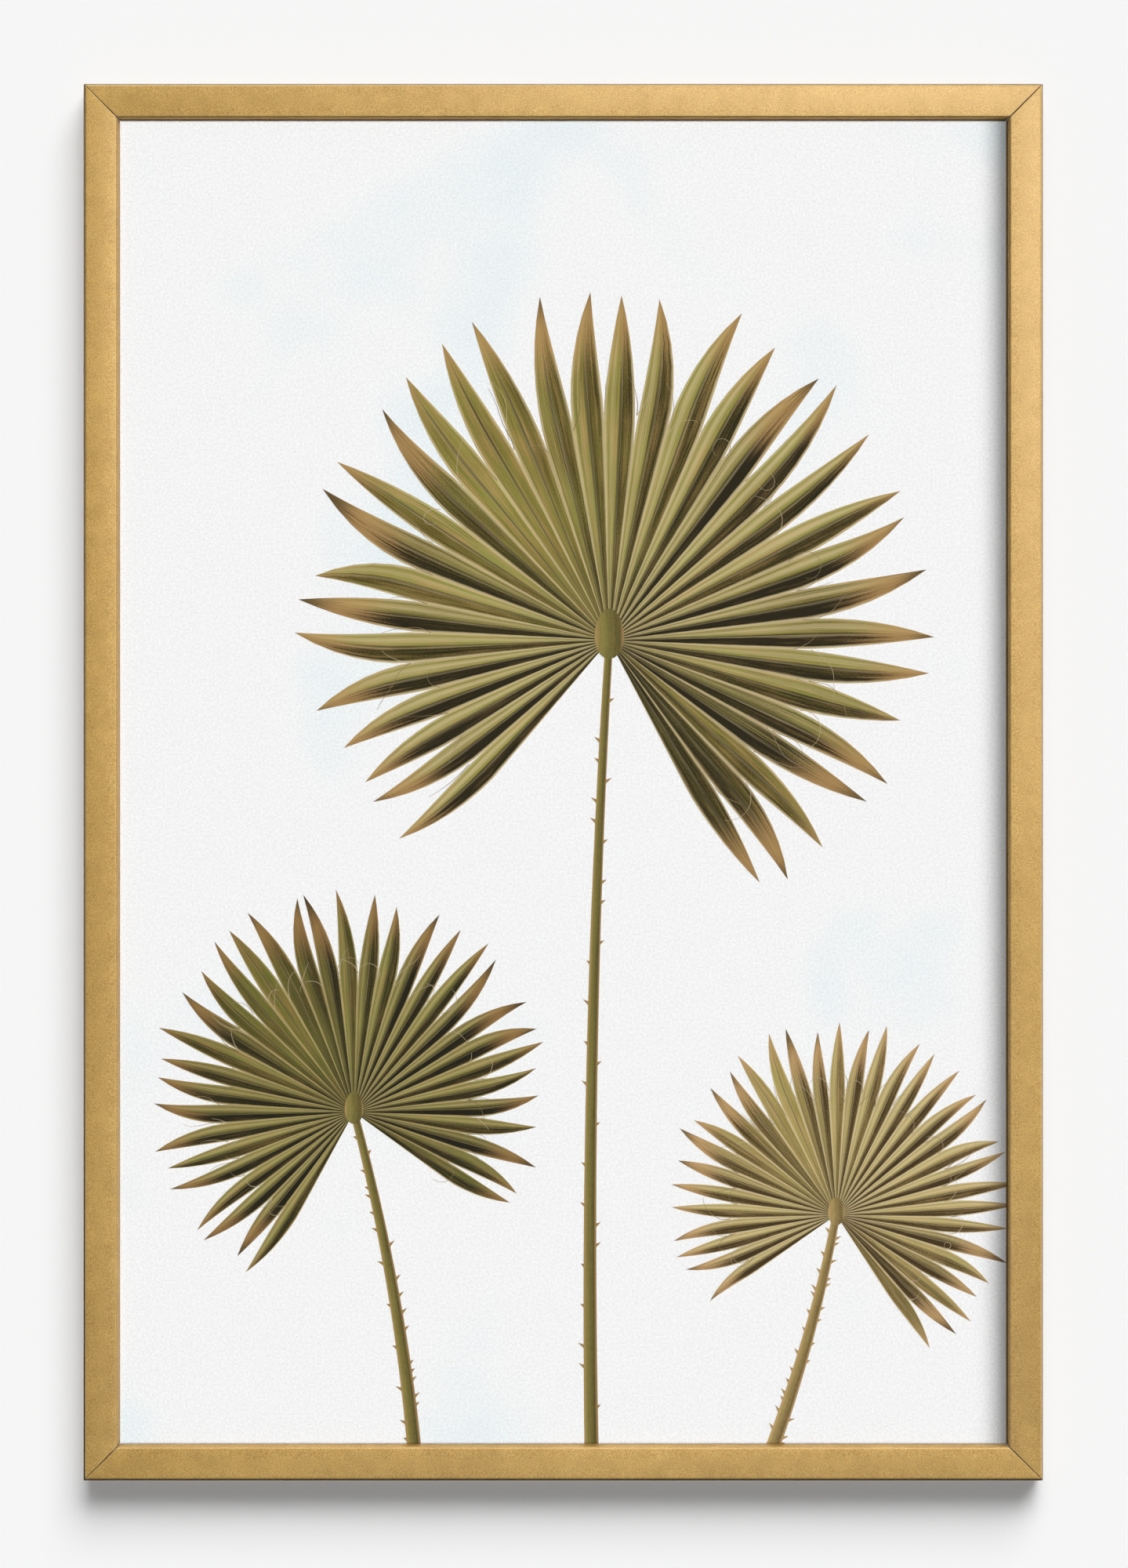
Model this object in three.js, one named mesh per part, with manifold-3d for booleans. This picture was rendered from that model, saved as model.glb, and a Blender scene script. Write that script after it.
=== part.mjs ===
// A framed art print that hangs on a wall: four mitred gold rails, clear glazing, the print
// with its botanical motif, a card, a hardboard back held by tabs, a sawtooth hanger and
// wall bumpers.
//
// Millimetres, +Z up. The front faces -Y and the wall is the plane y = 0. The origin is the
// middle notch of the hanger, where the wall nail carries the frame.
import * as THREE from 'three';
import { mergeVertices } from 'three/addons/utils/BufferGeometryUtils.js';
import Module from 'manifold-3d';

// Overall sizes
const OUTER_WIDTH = 540;
const OUTER_HEIGHT = 786;
const TOP_ABOVE_NOTCH = 11;
const WALL_SPACE = 3;

// Moulding section: u runs from the outer edge to the opening, v from the front to the back
const RAIL_WIDTH = 20.3;
const RAIL_DEPTH = 24;
const SIGHT_BEVEL = 2.6;
const LIP_DEPTH = 5.5;
const LIP_OVERLAP = 5;
const LIP_EDGE = 0.5;
const EDGE_ROUND = 0.9;
const BACK_ROUND = 0.5;
const MITRE_GAP = 0.3;

// Layers behind the lip
const LAYER_GAP = 0.2;
const REBATE_CLEARANCE = 1;
const GLAZING_THICK = 2;
const INK_THICK = 0.12;
const PRINT_THICK = 0.4;
const CARD_THICK = 1.5;
const BOARD_THICK = 3;

// Tabs pressed into the rebate wall
const TAB_WIDTH = 12;
const TAB_THICK = 0.6;
const TAB_ROOT = 6;
const TAB_SHOULDER = 3.5;
const TAB_REACH = 14;
const TAB_ROUND = 3;
const TAB_PITCH = 175;

// Folded nails across each mitre, set in from the outer edge
const NAIL_INSETS = [4, 9.5];
const NAIL_LEG = 6.5;
const NAIL_THICK = 0.5;
const NAIL_DEPTH = 9;
const NAIL_SLOT_GAP = 0.25;

// Sawtooth hanger and its screws
const HANGER_HALF = 32;
const HANGER_FLAT = 24;
const HANGER_JOGGLE = 2;
const HANGER_RISE = 1.5;
const HANGER_THICK = 1;
const HANGER_TOP = 8.5;
const HANGER_ROUND = 2;
const TOOTH_PITCH = 4;
const TOOTH_DEPTH = 2;
const TOOTH_COUNT = 10;
const SCREW_X = 28;
const SCREW_Z = 3.5;
const SCREW_LENGTH = 12;
const SCREW_RADIUS = 1.3;
const SCREW_HOLE_RADIUS = 1.5;
const SCREW_HEAD_RADIUS = 2.8;
const SCREW_HEAD_HEIGHT = 1.1;

// Wall bumpers
const BUMPER_RADIUS = 5;
const BUMPER_FLAT_RADIUS = 4.2;
const BUMPER_INSET = 24;

// Printed palms: hub place from the print's centre, reach, and the foot of the stalk
const INK_MARGIN = 1.5;
const PALM_SEGMENTS = 34;
const NOTCH_SHARE = 0.6;
const EDGE_SHORTENING = 0.24;
const TIP_DROOP = 0.1;
const STALK_HALF_WIDTH = [2.2, 4];
const STALK_STEPS = 14;
const PALMS = [
  { hub: [26, 80], reach: 200, tilt: 7, spread: 284, footX: 16, bend: -9, colour: 0x85773f },
  { hub: [-118, -186], reach: 128, tilt: -14, spread: 268, footX: -84, bend: 8, colour: 0x6c6030 },
  { hub: [154, -244], reach: 112, tilt: 12, spread: 262, footX: 118, bend: 6, colour: 0xa08c5c },
];

const ROUND_SEGMENTS = 28;
const CURVE_SEGMENTS = 4;

// Places that follow from the sizes
const BACK_Y = -WALL_SPACE;
const FRONT_Y = BACK_Y - RAIL_DEPTH;
const CENTRE_Z = TOP_ABOVE_NOTCH - OUTER_HEIGHT / 2;
const BODY_WIDTH = RAIL_WIDTH - LIP_OVERLAP;
const MITRE_SHIFT = MITRE_GAP / Math.SQRT2;
const LAYER_WIDTH = OUTER_WIDTH - 2 * (BODY_WIDTH + REBATE_CLEARANCE);
const LAYER_HEIGHT = OUTER_HEIGHT - 2 * (BODY_WIDTH + REBATE_CLEARANCE);
const GLAZING_V = LIP_DEPTH + LAYER_GAP;
const INK_V = GLAZING_V + GLAZING_THICK + LAYER_GAP;
const PRINT_V = INK_V + INK_THICK + LAYER_GAP;
const CARD_V = PRINT_V + PRINT_THICK + LAYER_GAP;
const BOARD_V = CARD_V + CARD_THICK + LAYER_GAP;
const TAB_V = BOARD_V + BOARD_THICK + LAYER_GAP;
const PLATE_Y = BACK_Y + LAYER_GAP;
const SCREW_SEAT_Y = PLATE_Y + HANGER_THICK + LAYER_GAP;

const gold = { color: 0xc9a063, roughness: 0.42, metalness: 0.85 };
const steel = { color: 0xb6b9bc, roughness: 0.35, metalness: 1 };
const acrylic = { color: 0xf6fafa, roughness: 0.08, metalness: 0, transparent: true, opacity: 0.12 };
const paper = { color: 0xf3f4f4, roughness: 0.9, metalness: 0 };
const card = { color: 0xe9e5da, roughness: 0.95, metalness: 0 };
const hardboard = { color: 0x7b573a, roughness: 0.8, metalness: 0 };
const rubber = { color: 0x2b2b2d, roughness: 0.75, metalness: 0 };

const wasm = await Module();
wasm.setup();

/** One named sub-part with its own material. */
function part(name, geometry, look) {
  const mesh = new THREE.Mesh(geometry, new THREE.MeshStandardMaterial(look));
  mesh.name = name;
  return mesh;
}

/** The same closed geometry as a solid that can be joined and cut. */
function toSolid(geometry) {
  const bare = geometry.clone();
  bare.deleteAttribute('normal');
  bare.deleteAttribute('uv');
  const merged = mergeVertices(bare);
  const vertProperties = Float32Array.from(merged.getAttribute('position').array);
  const triVerts = Uint32Array.from(merged.getIndex().array);
  return new wasm.Manifold(new wasm.Mesh({ numProp: 3, vertProperties, triVerts }));
}

/** A solid's surface as a geometry. */
function toGeometry(solid) {
  const mesh = solid.getMesh();
  const geometry = new THREE.BufferGeometry();
  geometry.setAttribute('position', new THREE.BufferAttribute(mesh.vertProperties, 3));
  geometry.setIndex(new THREE.BufferAttribute(mesh.triVerts, 1));
  geometry.computeVertexNormals();
  return geometry;
}

/** A solid with each of the given closed geometries cut out of it. */
function cutAll(solid, cuts) {
  return cuts.reduce((rest, cut) => rest.subtract(toSolid(cut)), solid);
}

/** A box between two corners. */
function boxBetween(low, high) {
  const size = high.map((value, i) => value - low[i]);
  const middle = high.map((value, i) => (value + low[i]) / 2);
  return new THREE.BoxGeometry(...size).translate(...middle);
}

/** The point a given distance from one corner towards another. */
function pointTowards(from, to, distance) {
  const start = new THREE.Vector2(from[0], from[1]);
  const way = new THREE.Vector2(to[0], to[1]).sub(start).normalize();
  return start.addScaledVector(way, distance);
}

/** A closed shape through corners [x, y, round], where round is how far its curve starts from the corner. */
function roundedShape(corners) {
  const shape = new THREE.Shape();
  corners.forEach((corner, i) => {
    const [x, y, round = 0] = corner;
    const before = pointTowards(corner, corners.at(i - 1), round);
    const after = pointTowards(corner, corners[(i + 1) % corners.length], round);
    if (i === 0) shape.moveTo(before.x, before.y);
    else shape.lineTo(before.x, before.y);
    if (round > 0) shape.quadraticCurveTo(x, y, after.x, after.y);
  });
  shape.closePath();
  return shape;
}

/** A shape drawn in X and Z, thickened from y = 0 towards the front. */
function slab(shape, thickness) {
  const options = { depth: thickness, bevelEnabled: false, curveSegments: CURVE_SEGMENTS };
  return new THREE.ExtrudeGeometry(shape, options).rotateX(Math.PI / 2);
}

/** Depth v behind the front face as a Y place. */
function yAt(v) {
  return FRONT_Y + v;
}

/** The moulding's section in u and v. */
function railSection() {
  return roundedShape([
    [0, 0, EDGE_ROUND],
    [RAIL_WIDTH - SIGHT_BEVEL, 0, EDGE_ROUND],
    [RAIL_WIDTH, LIP_DEPTH - LIP_EDGE],
    [RAIL_WIDTH, LIP_DEPTH],
    [BODY_WIDTH, LIP_DEPTH],
    [BODY_WIDTH, RAIL_DEPTH],
    [0, RAIL_DEPTH, BACK_ROUND],
  ]);
}

/** A rail with mitred ends, along X, with its outer edge at z = half. */
function mitredRail(length, half) {
  const options = { depth: 1, bevelEnabled: false, curveSegments: CURVE_SEGMENTS };
  const geometry = new THREE.ExtrudeGeometry(railSection(), options);
  const position = geometry.getAttribute('position');
  for (let i = 0; i < position.count; i += 1) {
    const u = position.getX(i);
    const end = 2 * position.getZ(i) - 1;
    position.setXYZ(i, end * (length / 2 - u - MITRE_SHIFT), yAt(position.getY(i)), half - u);
  }
  return geometry;
}

/** Slots for the folded nails at both ends of a rail. */
function nailSlots(length, half) {
  const wide = NAIL_THICK / 2 + NAIL_SLOT_GAP;
  return [-1, 1].flatMap((end) => NAIL_INSETS.map((inset) => {
    const apex = length / 2 - inset;
    const ends = [end * (apex - NAIL_LEG - NAIL_SLOT_GAP), end * (apex + NAIL_LEG)];
    const low = [Math.min(...ends), BACK_Y - NAIL_DEPTH - 2 * LAYER_GAP, half - inset - wide];
    const high = [Math.max(...ends), BACK_Y + 1, half - inset + wide];
    return boxBetween(low, high);
  }));
}

/** Where the tabs stand along a rail, evenly about its middle. */
function tabPlaces(length) {
  const count = Math.floor((length - TAB_PITCH / 2) / TAB_PITCH) + 1;
  return Array.from({ length: count }, (_, i) => (i - (count - 1) / 2) * TAB_PITCH);
}

/** Slots for the tabs' roots in the rebate wall. */
function tabSlots(length, half) {
  const wall = half - BODY_WIDTH;
  return tabPlaces(length).map((x) => boxBetween(
    [x - TAB_WIDTH / 2 - LAYER_GAP, yAt(TAB_V - LAYER_GAP), wall - 1],
    [x + TAB_WIDTH / 2 + LAYER_GAP, yAt(TAB_V + TAB_THICK + LAYER_GAP), wall + TAB_ROOT + LAYER_GAP],
  ));
}

/** Round holes for the hanger's two screws, along Y between two places. */
function screwHoles(lowY, highY) {
  const depth = highY - lowY;
  return [-SCREW_X, SCREW_X].map((x) => (
    new THREE.CylinderGeometry(SCREW_HOLE_RADIUS, SCREW_HOLE_RADIUS, depth, ROUND_SEGMENTS)
      .translate(x, lowY + depth / 2, SCREW_Z)
  ));
}

/** A pressed steel tab: pointed root upward into the rail, rounded end over the board. */
function tabGeometry() {
  const half = TAB_WIDTH / 2;
  return slab(roundedShape([
    [-half, TAB_SHOULDER],
    [0, TAB_ROOT],
    [half, TAB_SHOULDER],
    [half, -TAB_REACH, TAB_ROUND],
    [-half, -TAB_REACH, TAB_ROUND],
  ]), TAB_THICK);
}

/** One side of the frame: its rail, with slots cut, and the tabs it holds. */
function frameSide(name, quarterTurns, length, half, extraCuts) {
  const side = new THREE.Group();
  side.rotation.y = quarterTurns * Math.PI / 2;
  const cuts = [...nailSlots(length, half), ...tabSlots(length, half), ...extraCuts];
  side.add(part(`rail_${name}`, toGeometry(cutAll(toSolid(mitredRail(length, half)), cuts)), gold));
  tabPlaces(length).forEach((x, i) => {
    const tab = part(`tab_${name}_${i + 1}`, tabGeometry(), steel);
    tab.position.set(x, yAt(TAB_V + TAB_THICK), half - BODY_WIDTH);
    side.add(tab);
  });
  return side;
}

/** The folded nails of one corner, turned from the upper right corner's place. */
function cornerNails(corner) {
  const wide = NAIL_THICK / 2;
  const fold = roundedShape([
    [wide, wide],
    [wide, -NAIL_LEG],
    [-wide, -NAIL_LEG],
    [-wide, -wide],
    [-NAIL_LEG, -wide],
    [-NAIL_LEG, wide],
  ]);
  const upright = corner % 2 === 0;
  const halfX = (upright ? OUTER_WIDTH : OUTER_HEIGHT) / 2;
  const halfZ = (upright ? OUTER_HEIGHT : OUTER_WIDTH) / 2;
  const nails = new THREE.Group();
  nails.rotation.y = corner * Math.PI / 2;
  NAIL_INSETS.forEach((inset, i) => {
    const nail = part(`corner_nail_${corner + 1}_${i + 1}`, slab(fold, NAIL_DEPTH), steel);
    nail.position.set(halfX - inset, BACK_Y - LAYER_GAP, halfZ - inset);
    nails.add(nail);
  });
  return nails;
}

/** A flat layer that fills the rebate from depth v. */
function layer(name, v, thickness, look) {
  const mesh = part(name, new THREE.BoxGeometry(LAYER_WIDTH, thickness, LAYER_HEIGHT), look);
  mesh.position.y = yAt(v + thickness / 2);
  return mesh;
}

/** Point at a clockwise angle from straight up, at a radius from a palm's hub. */
function palmPoint([x, z], angle, radius, drop) {
  return new THREE.Vector2(x + radius * Math.sin(angle), z + radius * Math.cos(angle) - drop);
}

/** A fan of pointed segments: a notch and a tip for each, shorter and drooping at its sides. */
function fanShape({ hub, reach, tilt, spread }) {
  const start = THREE.MathUtils.degToRad(tilt - spread / 2);
  const step = THREE.MathUtils.degToRad(spread) / PALM_SEGMENTS;
  const outline = [palmPoint(hub, 0, 0, 0)];
  for (let i = 0; i <= 2 * PALM_SEGMENTS; i += 1) {
    const side = i / PALM_SEGMENTS - 1;
    const share = i % 2 === 0 ? NOTCH_SHARE : 1;
    const radius = reach * share * (1 - EDGE_SHORTENING * side * side);
    const drop = reach * share * TIP_DROOP * side * side;
    outline.push(palmPoint(hub, start + (i / 2) * step, radius, drop));
  }
  return new THREE.Shape(outline);
}

/** A stalk that bends from the hub to the print's lower edge and widens towards its foot. */
function stalkShape({ hub, footX, bend }) {
  const foot = [footX, -LAYER_HEIGHT / 2 - INK_MARGIN];
  const middle = [(hub[0] + foot[0]) / 2 + bend, (hub[1] + foot[1]) / 2];
  const [a, b, c] = [hub, middle, foot].map(([x, z]) => new THREE.Vector2(x, z));
  const route = new THREE.QuadraticBezierCurve(a, b, c);
  const edge = (side) => Array.from({ length: STALK_STEPS + 1 }, (_, i) => {
    const along = i / STALK_STEPS;
    const way = route.getTangent(along);
    const half = THREE.MathUtils.lerp(...STALK_HALF_WIDTH, along);
    return route.getPoint(along).add(new THREE.Vector2(-way.y, way.x).multiplyScalar(side * half));
  });
  return new THREE.Shape([...edge(1), ...edge(-1).reverse()]);
}

/** One printed palm, kept within the print's margin. */
function printedPalm(palm, index) {
  const margin = 2 * INK_MARGIN;
  const field = new THREE.BoxGeometry(LAYER_WIDTH - margin, 1, LAYER_HEIGHT - margin);
  const fan = toSolid(slab(fanShape(palm), INK_THICK));
  const stalk = toSolid(slab(stalkShape(palm), INK_THICK));
  const ink = { color: palm.colour, roughness: 0.9, metalness: 0 };
  const shape = fan.add(stalk).intersect(toSolid(field));
  const mesh = part(`printed_palm_${index + 1}`, toGeometry(shape), ink);
  mesh.position.y = yAt(INK_V + INK_THICK);
  return mesh;
}

/** The hanger's outline in X and Z, with its toothed lower edge. */
function hangerOutline() {
  const teeth = Array.from({ length: 2 * TOOTH_COUNT - 1 }, (_, i) => {
    const x = (TOOTH_COUNT - 1 - i) * TOOTH_PITCH / 2;
    return [x, i % 2 === 0 ? -TOOTH_DEPTH : 0];
  });
  return roundedShape([
    [-HANGER_HALF, -TOOTH_DEPTH, HANGER_ROUND],
    [-HANGER_HALF, HANGER_TOP, HANGER_ROUND],
    [HANGER_HALF, HANGER_TOP, HANGER_ROUND],
    [HANGER_HALF, -TOOTH_DEPTH, HANGER_ROUND],
    ...teeth,
  ]);
}

/** The hanger's strip in X and Y: flat ends on the rail and a raised middle. */
function hangerStrip() {
  const side = (y) => [
    [-HANGER_HALF - 1, y],
    [-HANGER_FLAT, y],
    [HANGER_JOGGLE - HANGER_FLAT, y + HANGER_RISE],
    [HANGER_FLAT - HANGER_JOGGLE, y + HANGER_RISE],
    [HANGER_FLAT, y],
    [HANGER_HALF + 1, y],
  ];
  const strip = roundedShape([...side(PLATE_Y), ...side(PLATE_Y + HANGER_THICK).reverse()]);
  const depth = HANGER_TOP + TOOTH_DEPTH + 2;
  const options = { depth, bevelEnabled: false };
  return new THREE.ExtrudeGeometry(strip, options).translate(0, 0, -TOOTH_DEPTH - 1);
}

/** The sawtooth hanger: the bent strip, cut to its outline and drilled for its screws. */
function sawtoothHanger() {
  const outline = toSolid(slab(hangerOutline(), WALL_SPACE));
  const plate = toSolid(hangerStrip()).intersect(outline);
  return part('sawtooth_hanger', toGeometry(cutAll(plate, screwHoles(BACK_Y, 0))), steel);
}

/** A turned piece about Y from a profile of [radius, y], listed from its low end to its high end. */
function turned(profile) {
  const points = profile.map(([radius, y]) => new THREE.Vector2(radius, y));
  return new THREE.LatheGeometry(points, ROUND_SEGMENTS);
}

/** A pan-head screw with its head towards the wall. */
function hangerScrew(index, x) {
  const screw = part(`hanger_screw_${index + 1}`, turned([
    [0, -SCREW_LENGTH],
    [SCREW_RADIUS, 2 * SCREW_RADIUS - SCREW_LENGTH],
    [SCREW_RADIUS, 0],
    [SCREW_HEAD_RADIUS, 0],
    [SCREW_HEAD_RADIUS, SCREW_HEAD_HEIGHT / 2],
    [0.75 * SCREW_HEAD_RADIUS, 0.92 * SCREW_HEAD_HEIGHT],
    [0, SCREW_HEAD_HEIGHT],
  ]), steel);
  screw.position.set(x, SCREW_SEAT_Y, SCREW_Z);
  return screw;
}

/** A soft disc between the rail and the wall, with its flat face on the wall. */
function bumper(index, x, z) {
  const thick = WALL_SPACE - LAYER_GAP;
  const edge = BUMPER_RADIUS - BUMPER_FLAT_RADIUS;
  const disc = part(`bumper_${index + 1}`, turned([
    [0, -thick],
    [BUMPER_RADIUS, -thick],
    [BUMPER_RADIUS, -edge],
    [BUMPER_FLAT_RADIUS, 0],
    [0, 0],
  ]), rubber);
  disc.position.set(x, 0, z);
  return disc;
}

const pilotHoles = screwHoles(SCREW_SEAT_Y - SCREW_LENGTH - LAYER_GAP, BACK_Y + 1)
  .map((hole) => hole.translate(0, 0, -CENTRE_Z));

const frame = new THREE.Group();
frame.position.z = CENTRE_Z;
frame.add(
  frameSide('top', 0, OUTER_WIDTH, OUTER_HEIGHT / 2, pilotHoles),
  frameSide('right', 1, OUTER_HEIGHT, OUTER_WIDTH / 2, []),
  frameSide('bottom', 2, OUTER_WIDTH, OUTER_HEIGHT / 2, []),
  frameSide('left', 3, OUTER_HEIGHT, OUTER_WIDTH / 2, []),
  ...[0, 1, 2, 3].map(cornerNails),
);

const picture = new THREE.Group();
picture.position.z = CENTRE_Z;
picture.add(
  layer('glazing', GLAZING_V, GLAZING_THICK, acrylic),
  ...PALMS.map(printedPalm),
  layer('print_sheet', PRINT_V, PRINT_THICK, paper),
  layer('backing_card', CARD_V, CARD_THICK, card),
  layer('backing_board', BOARD_V, BOARD_THICK, hardboard),
);

const hanging = new THREE.Group();
const bumperX = OUTER_WIDTH / 2 - BUMPER_INSET;
const bumperZ = OUTER_HEIGHT / 2 - BODY_WIDTH / 2;
const corners = [[-bumperX, bumperZ], [bumperX, bumperZ], [-bumperX, -bumperZ], [bumperX, -bumperZ]];
hanging.add(
  sawtoothHanger(),
  ...[-SCREW_X, SCREW_X].map((x, i) => hangerScrew(i, x)),
  ...corners.map(([x, z], i) => bumper(i, x, CENTRE_Z + z)),
);

const framedPrint = new THREE.Group();
framedPrint.add(frame, picture, hanging);

export default framedPrint;
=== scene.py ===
"""Looks of a framed art print: a slim gold moulding, clear glazing, a printed design and its back.

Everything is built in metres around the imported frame. The front faces -Y, +Z is up and the wall
is the plane y = 0.
"""

import logging
import math
import random
from dataclasses import dataclass
from enum import Enum
from typing import Iterable, Mapping, Optional, Sequence, Union

import bpy
from bpy.types import Material, NodeSocket, Object
from mathutils import Matrix, Vector


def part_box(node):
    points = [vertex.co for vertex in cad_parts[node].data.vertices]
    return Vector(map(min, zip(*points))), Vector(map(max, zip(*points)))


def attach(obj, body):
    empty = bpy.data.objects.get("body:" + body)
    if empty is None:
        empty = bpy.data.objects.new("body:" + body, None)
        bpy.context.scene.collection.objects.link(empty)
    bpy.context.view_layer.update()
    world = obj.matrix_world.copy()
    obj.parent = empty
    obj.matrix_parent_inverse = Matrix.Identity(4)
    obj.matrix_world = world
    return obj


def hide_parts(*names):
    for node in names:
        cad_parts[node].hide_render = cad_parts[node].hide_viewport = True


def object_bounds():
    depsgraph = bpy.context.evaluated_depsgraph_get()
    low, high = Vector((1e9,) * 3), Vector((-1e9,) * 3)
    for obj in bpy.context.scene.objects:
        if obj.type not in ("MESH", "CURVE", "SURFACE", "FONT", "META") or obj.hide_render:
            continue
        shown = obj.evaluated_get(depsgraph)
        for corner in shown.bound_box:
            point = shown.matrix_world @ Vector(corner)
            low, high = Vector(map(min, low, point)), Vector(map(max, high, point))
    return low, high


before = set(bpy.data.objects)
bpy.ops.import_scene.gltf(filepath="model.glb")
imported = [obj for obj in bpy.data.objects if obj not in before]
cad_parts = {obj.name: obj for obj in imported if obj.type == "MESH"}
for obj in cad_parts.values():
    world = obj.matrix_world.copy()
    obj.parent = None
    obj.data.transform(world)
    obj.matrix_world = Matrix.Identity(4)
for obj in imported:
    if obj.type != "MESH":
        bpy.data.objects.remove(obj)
CAD_LOW, CAD_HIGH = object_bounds()

MM = 0.001
BODY = "root"

log = logging.getLogger("framed_print")

Colour = tuple[float, float, float, float]
# What a socket takes: a link, a number, or a colour or vector.
Input = Union["Value", float, Sequence[float]]

WHITE: Colour = (1.0, 1.0, 1.0, 1.0)


def paint(red: int, green: int, blue: int) -> Colour:
    """A colour given in display values of 0 to 255, as linear light.

    Args:
        red: Red display value.
        green: Green display value.
        blue: Blue display value.

    Returns:
        The linear colour with full alpha.
    """

    def linear(value: int) -> float:
        """One display value as linear light."""
        share = value / 255
        return share / 12.92 if share <= 0.04045 else ((share + 0.055) / 1.055) ** 2.4

    return (linear(red), linear(green), linear(blue), 1.0)


# --- Shader sums -------------------------------------------------------------------------------


class Value:
    """A number socket that takes part in Python sums and adds Math nodes as it goes."""

    def __init__(self, graph: "Graph", socket: NodeSocket) -> None:
        """Keeps the socket and the graph that it belongs to.

        Args:
            graph: The material's graph.
            socket: An output socket in it.
        """
        self.graph = graph
        self.socket = socket

    def other(self, output: str) -> "Value":
        """Another output of the same node."""
        return Value(self.graph, self.socket.node.outputs[output])

    def _sum(self, operation: str, *terms: Input) -> "Value":
        """One Math node on the given terms, in order."""
        return self.graph.node("ShaderNodeMath", {"operation": operation}, dict(enumerate(terms)))

    def __add__(self, other: Input) -> "Value":
        """self + other."""
        return self._sum("ADD", self, other)

    def __radd__(self, other: Input) -> "Value":
        """other + self."""
        return self._sum("ADD", other, self)

    def __sub__(self, other: Input) -> "Value":
        """self - other."""
        return self._sum("SUBTRACT", self, other)

    def __rsub__(self, other: Input) -> "Value":
        """other - self."""
        return self._sum("SUBTRACT", other, self)

    def __mul__(self, other: Input) -> "Value":
        """self * other."""
        return self._sum("MULTIPLY", self, other)

    def __rmul__(self, other: Input) -> "Value":
        """other * self."""
        return self._sum("MULTIPLY", other, self)

    def __truediv__(self, other: Input) -> "Value":
        """self / other."""
        return self._sum("DIVIDE", self, other)

    def __rtruediv__(self, other: Input) -> "Value":
        """other / self."""
        return self._sum("DIVIDE", other, self)

    def __pow__(self, other: Input) -> "Value":
        """self to the power of other."""
        return self._sum("POWER", self, other)

    def __rpow__(self, other: Input) -> "Value":
        """other to the power of self."""
        return self._sum("POWER", other, self)

    def __neg__(self) -> "Value":
        """self with its sign turned."""
        return self._sum("MULTIPLY", -1.0, self)

    def __abs__(self) -> "Value":
        """The size of self without its sign."""
        return self._sum("ABSOLUTE", self)

    def sine(self) -> "Value":
        """The sine of self in radians."""
        return self._sum("SINE", self)

    def within(self, low: float, high: float) -> "Value":
        """self held between two limits."""
        return self._sum("MINIMUM", self._sum("MAXIMUM", self, low), high)

    def step(self, start: float, end: float) -> "Value":
        """A smooth 0 to 1 as self goes from start to end."""
        share = ((self - start) / (end - start)).within(0.0, 1.0)
        return share * share * (3 - 2 * share)


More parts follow.
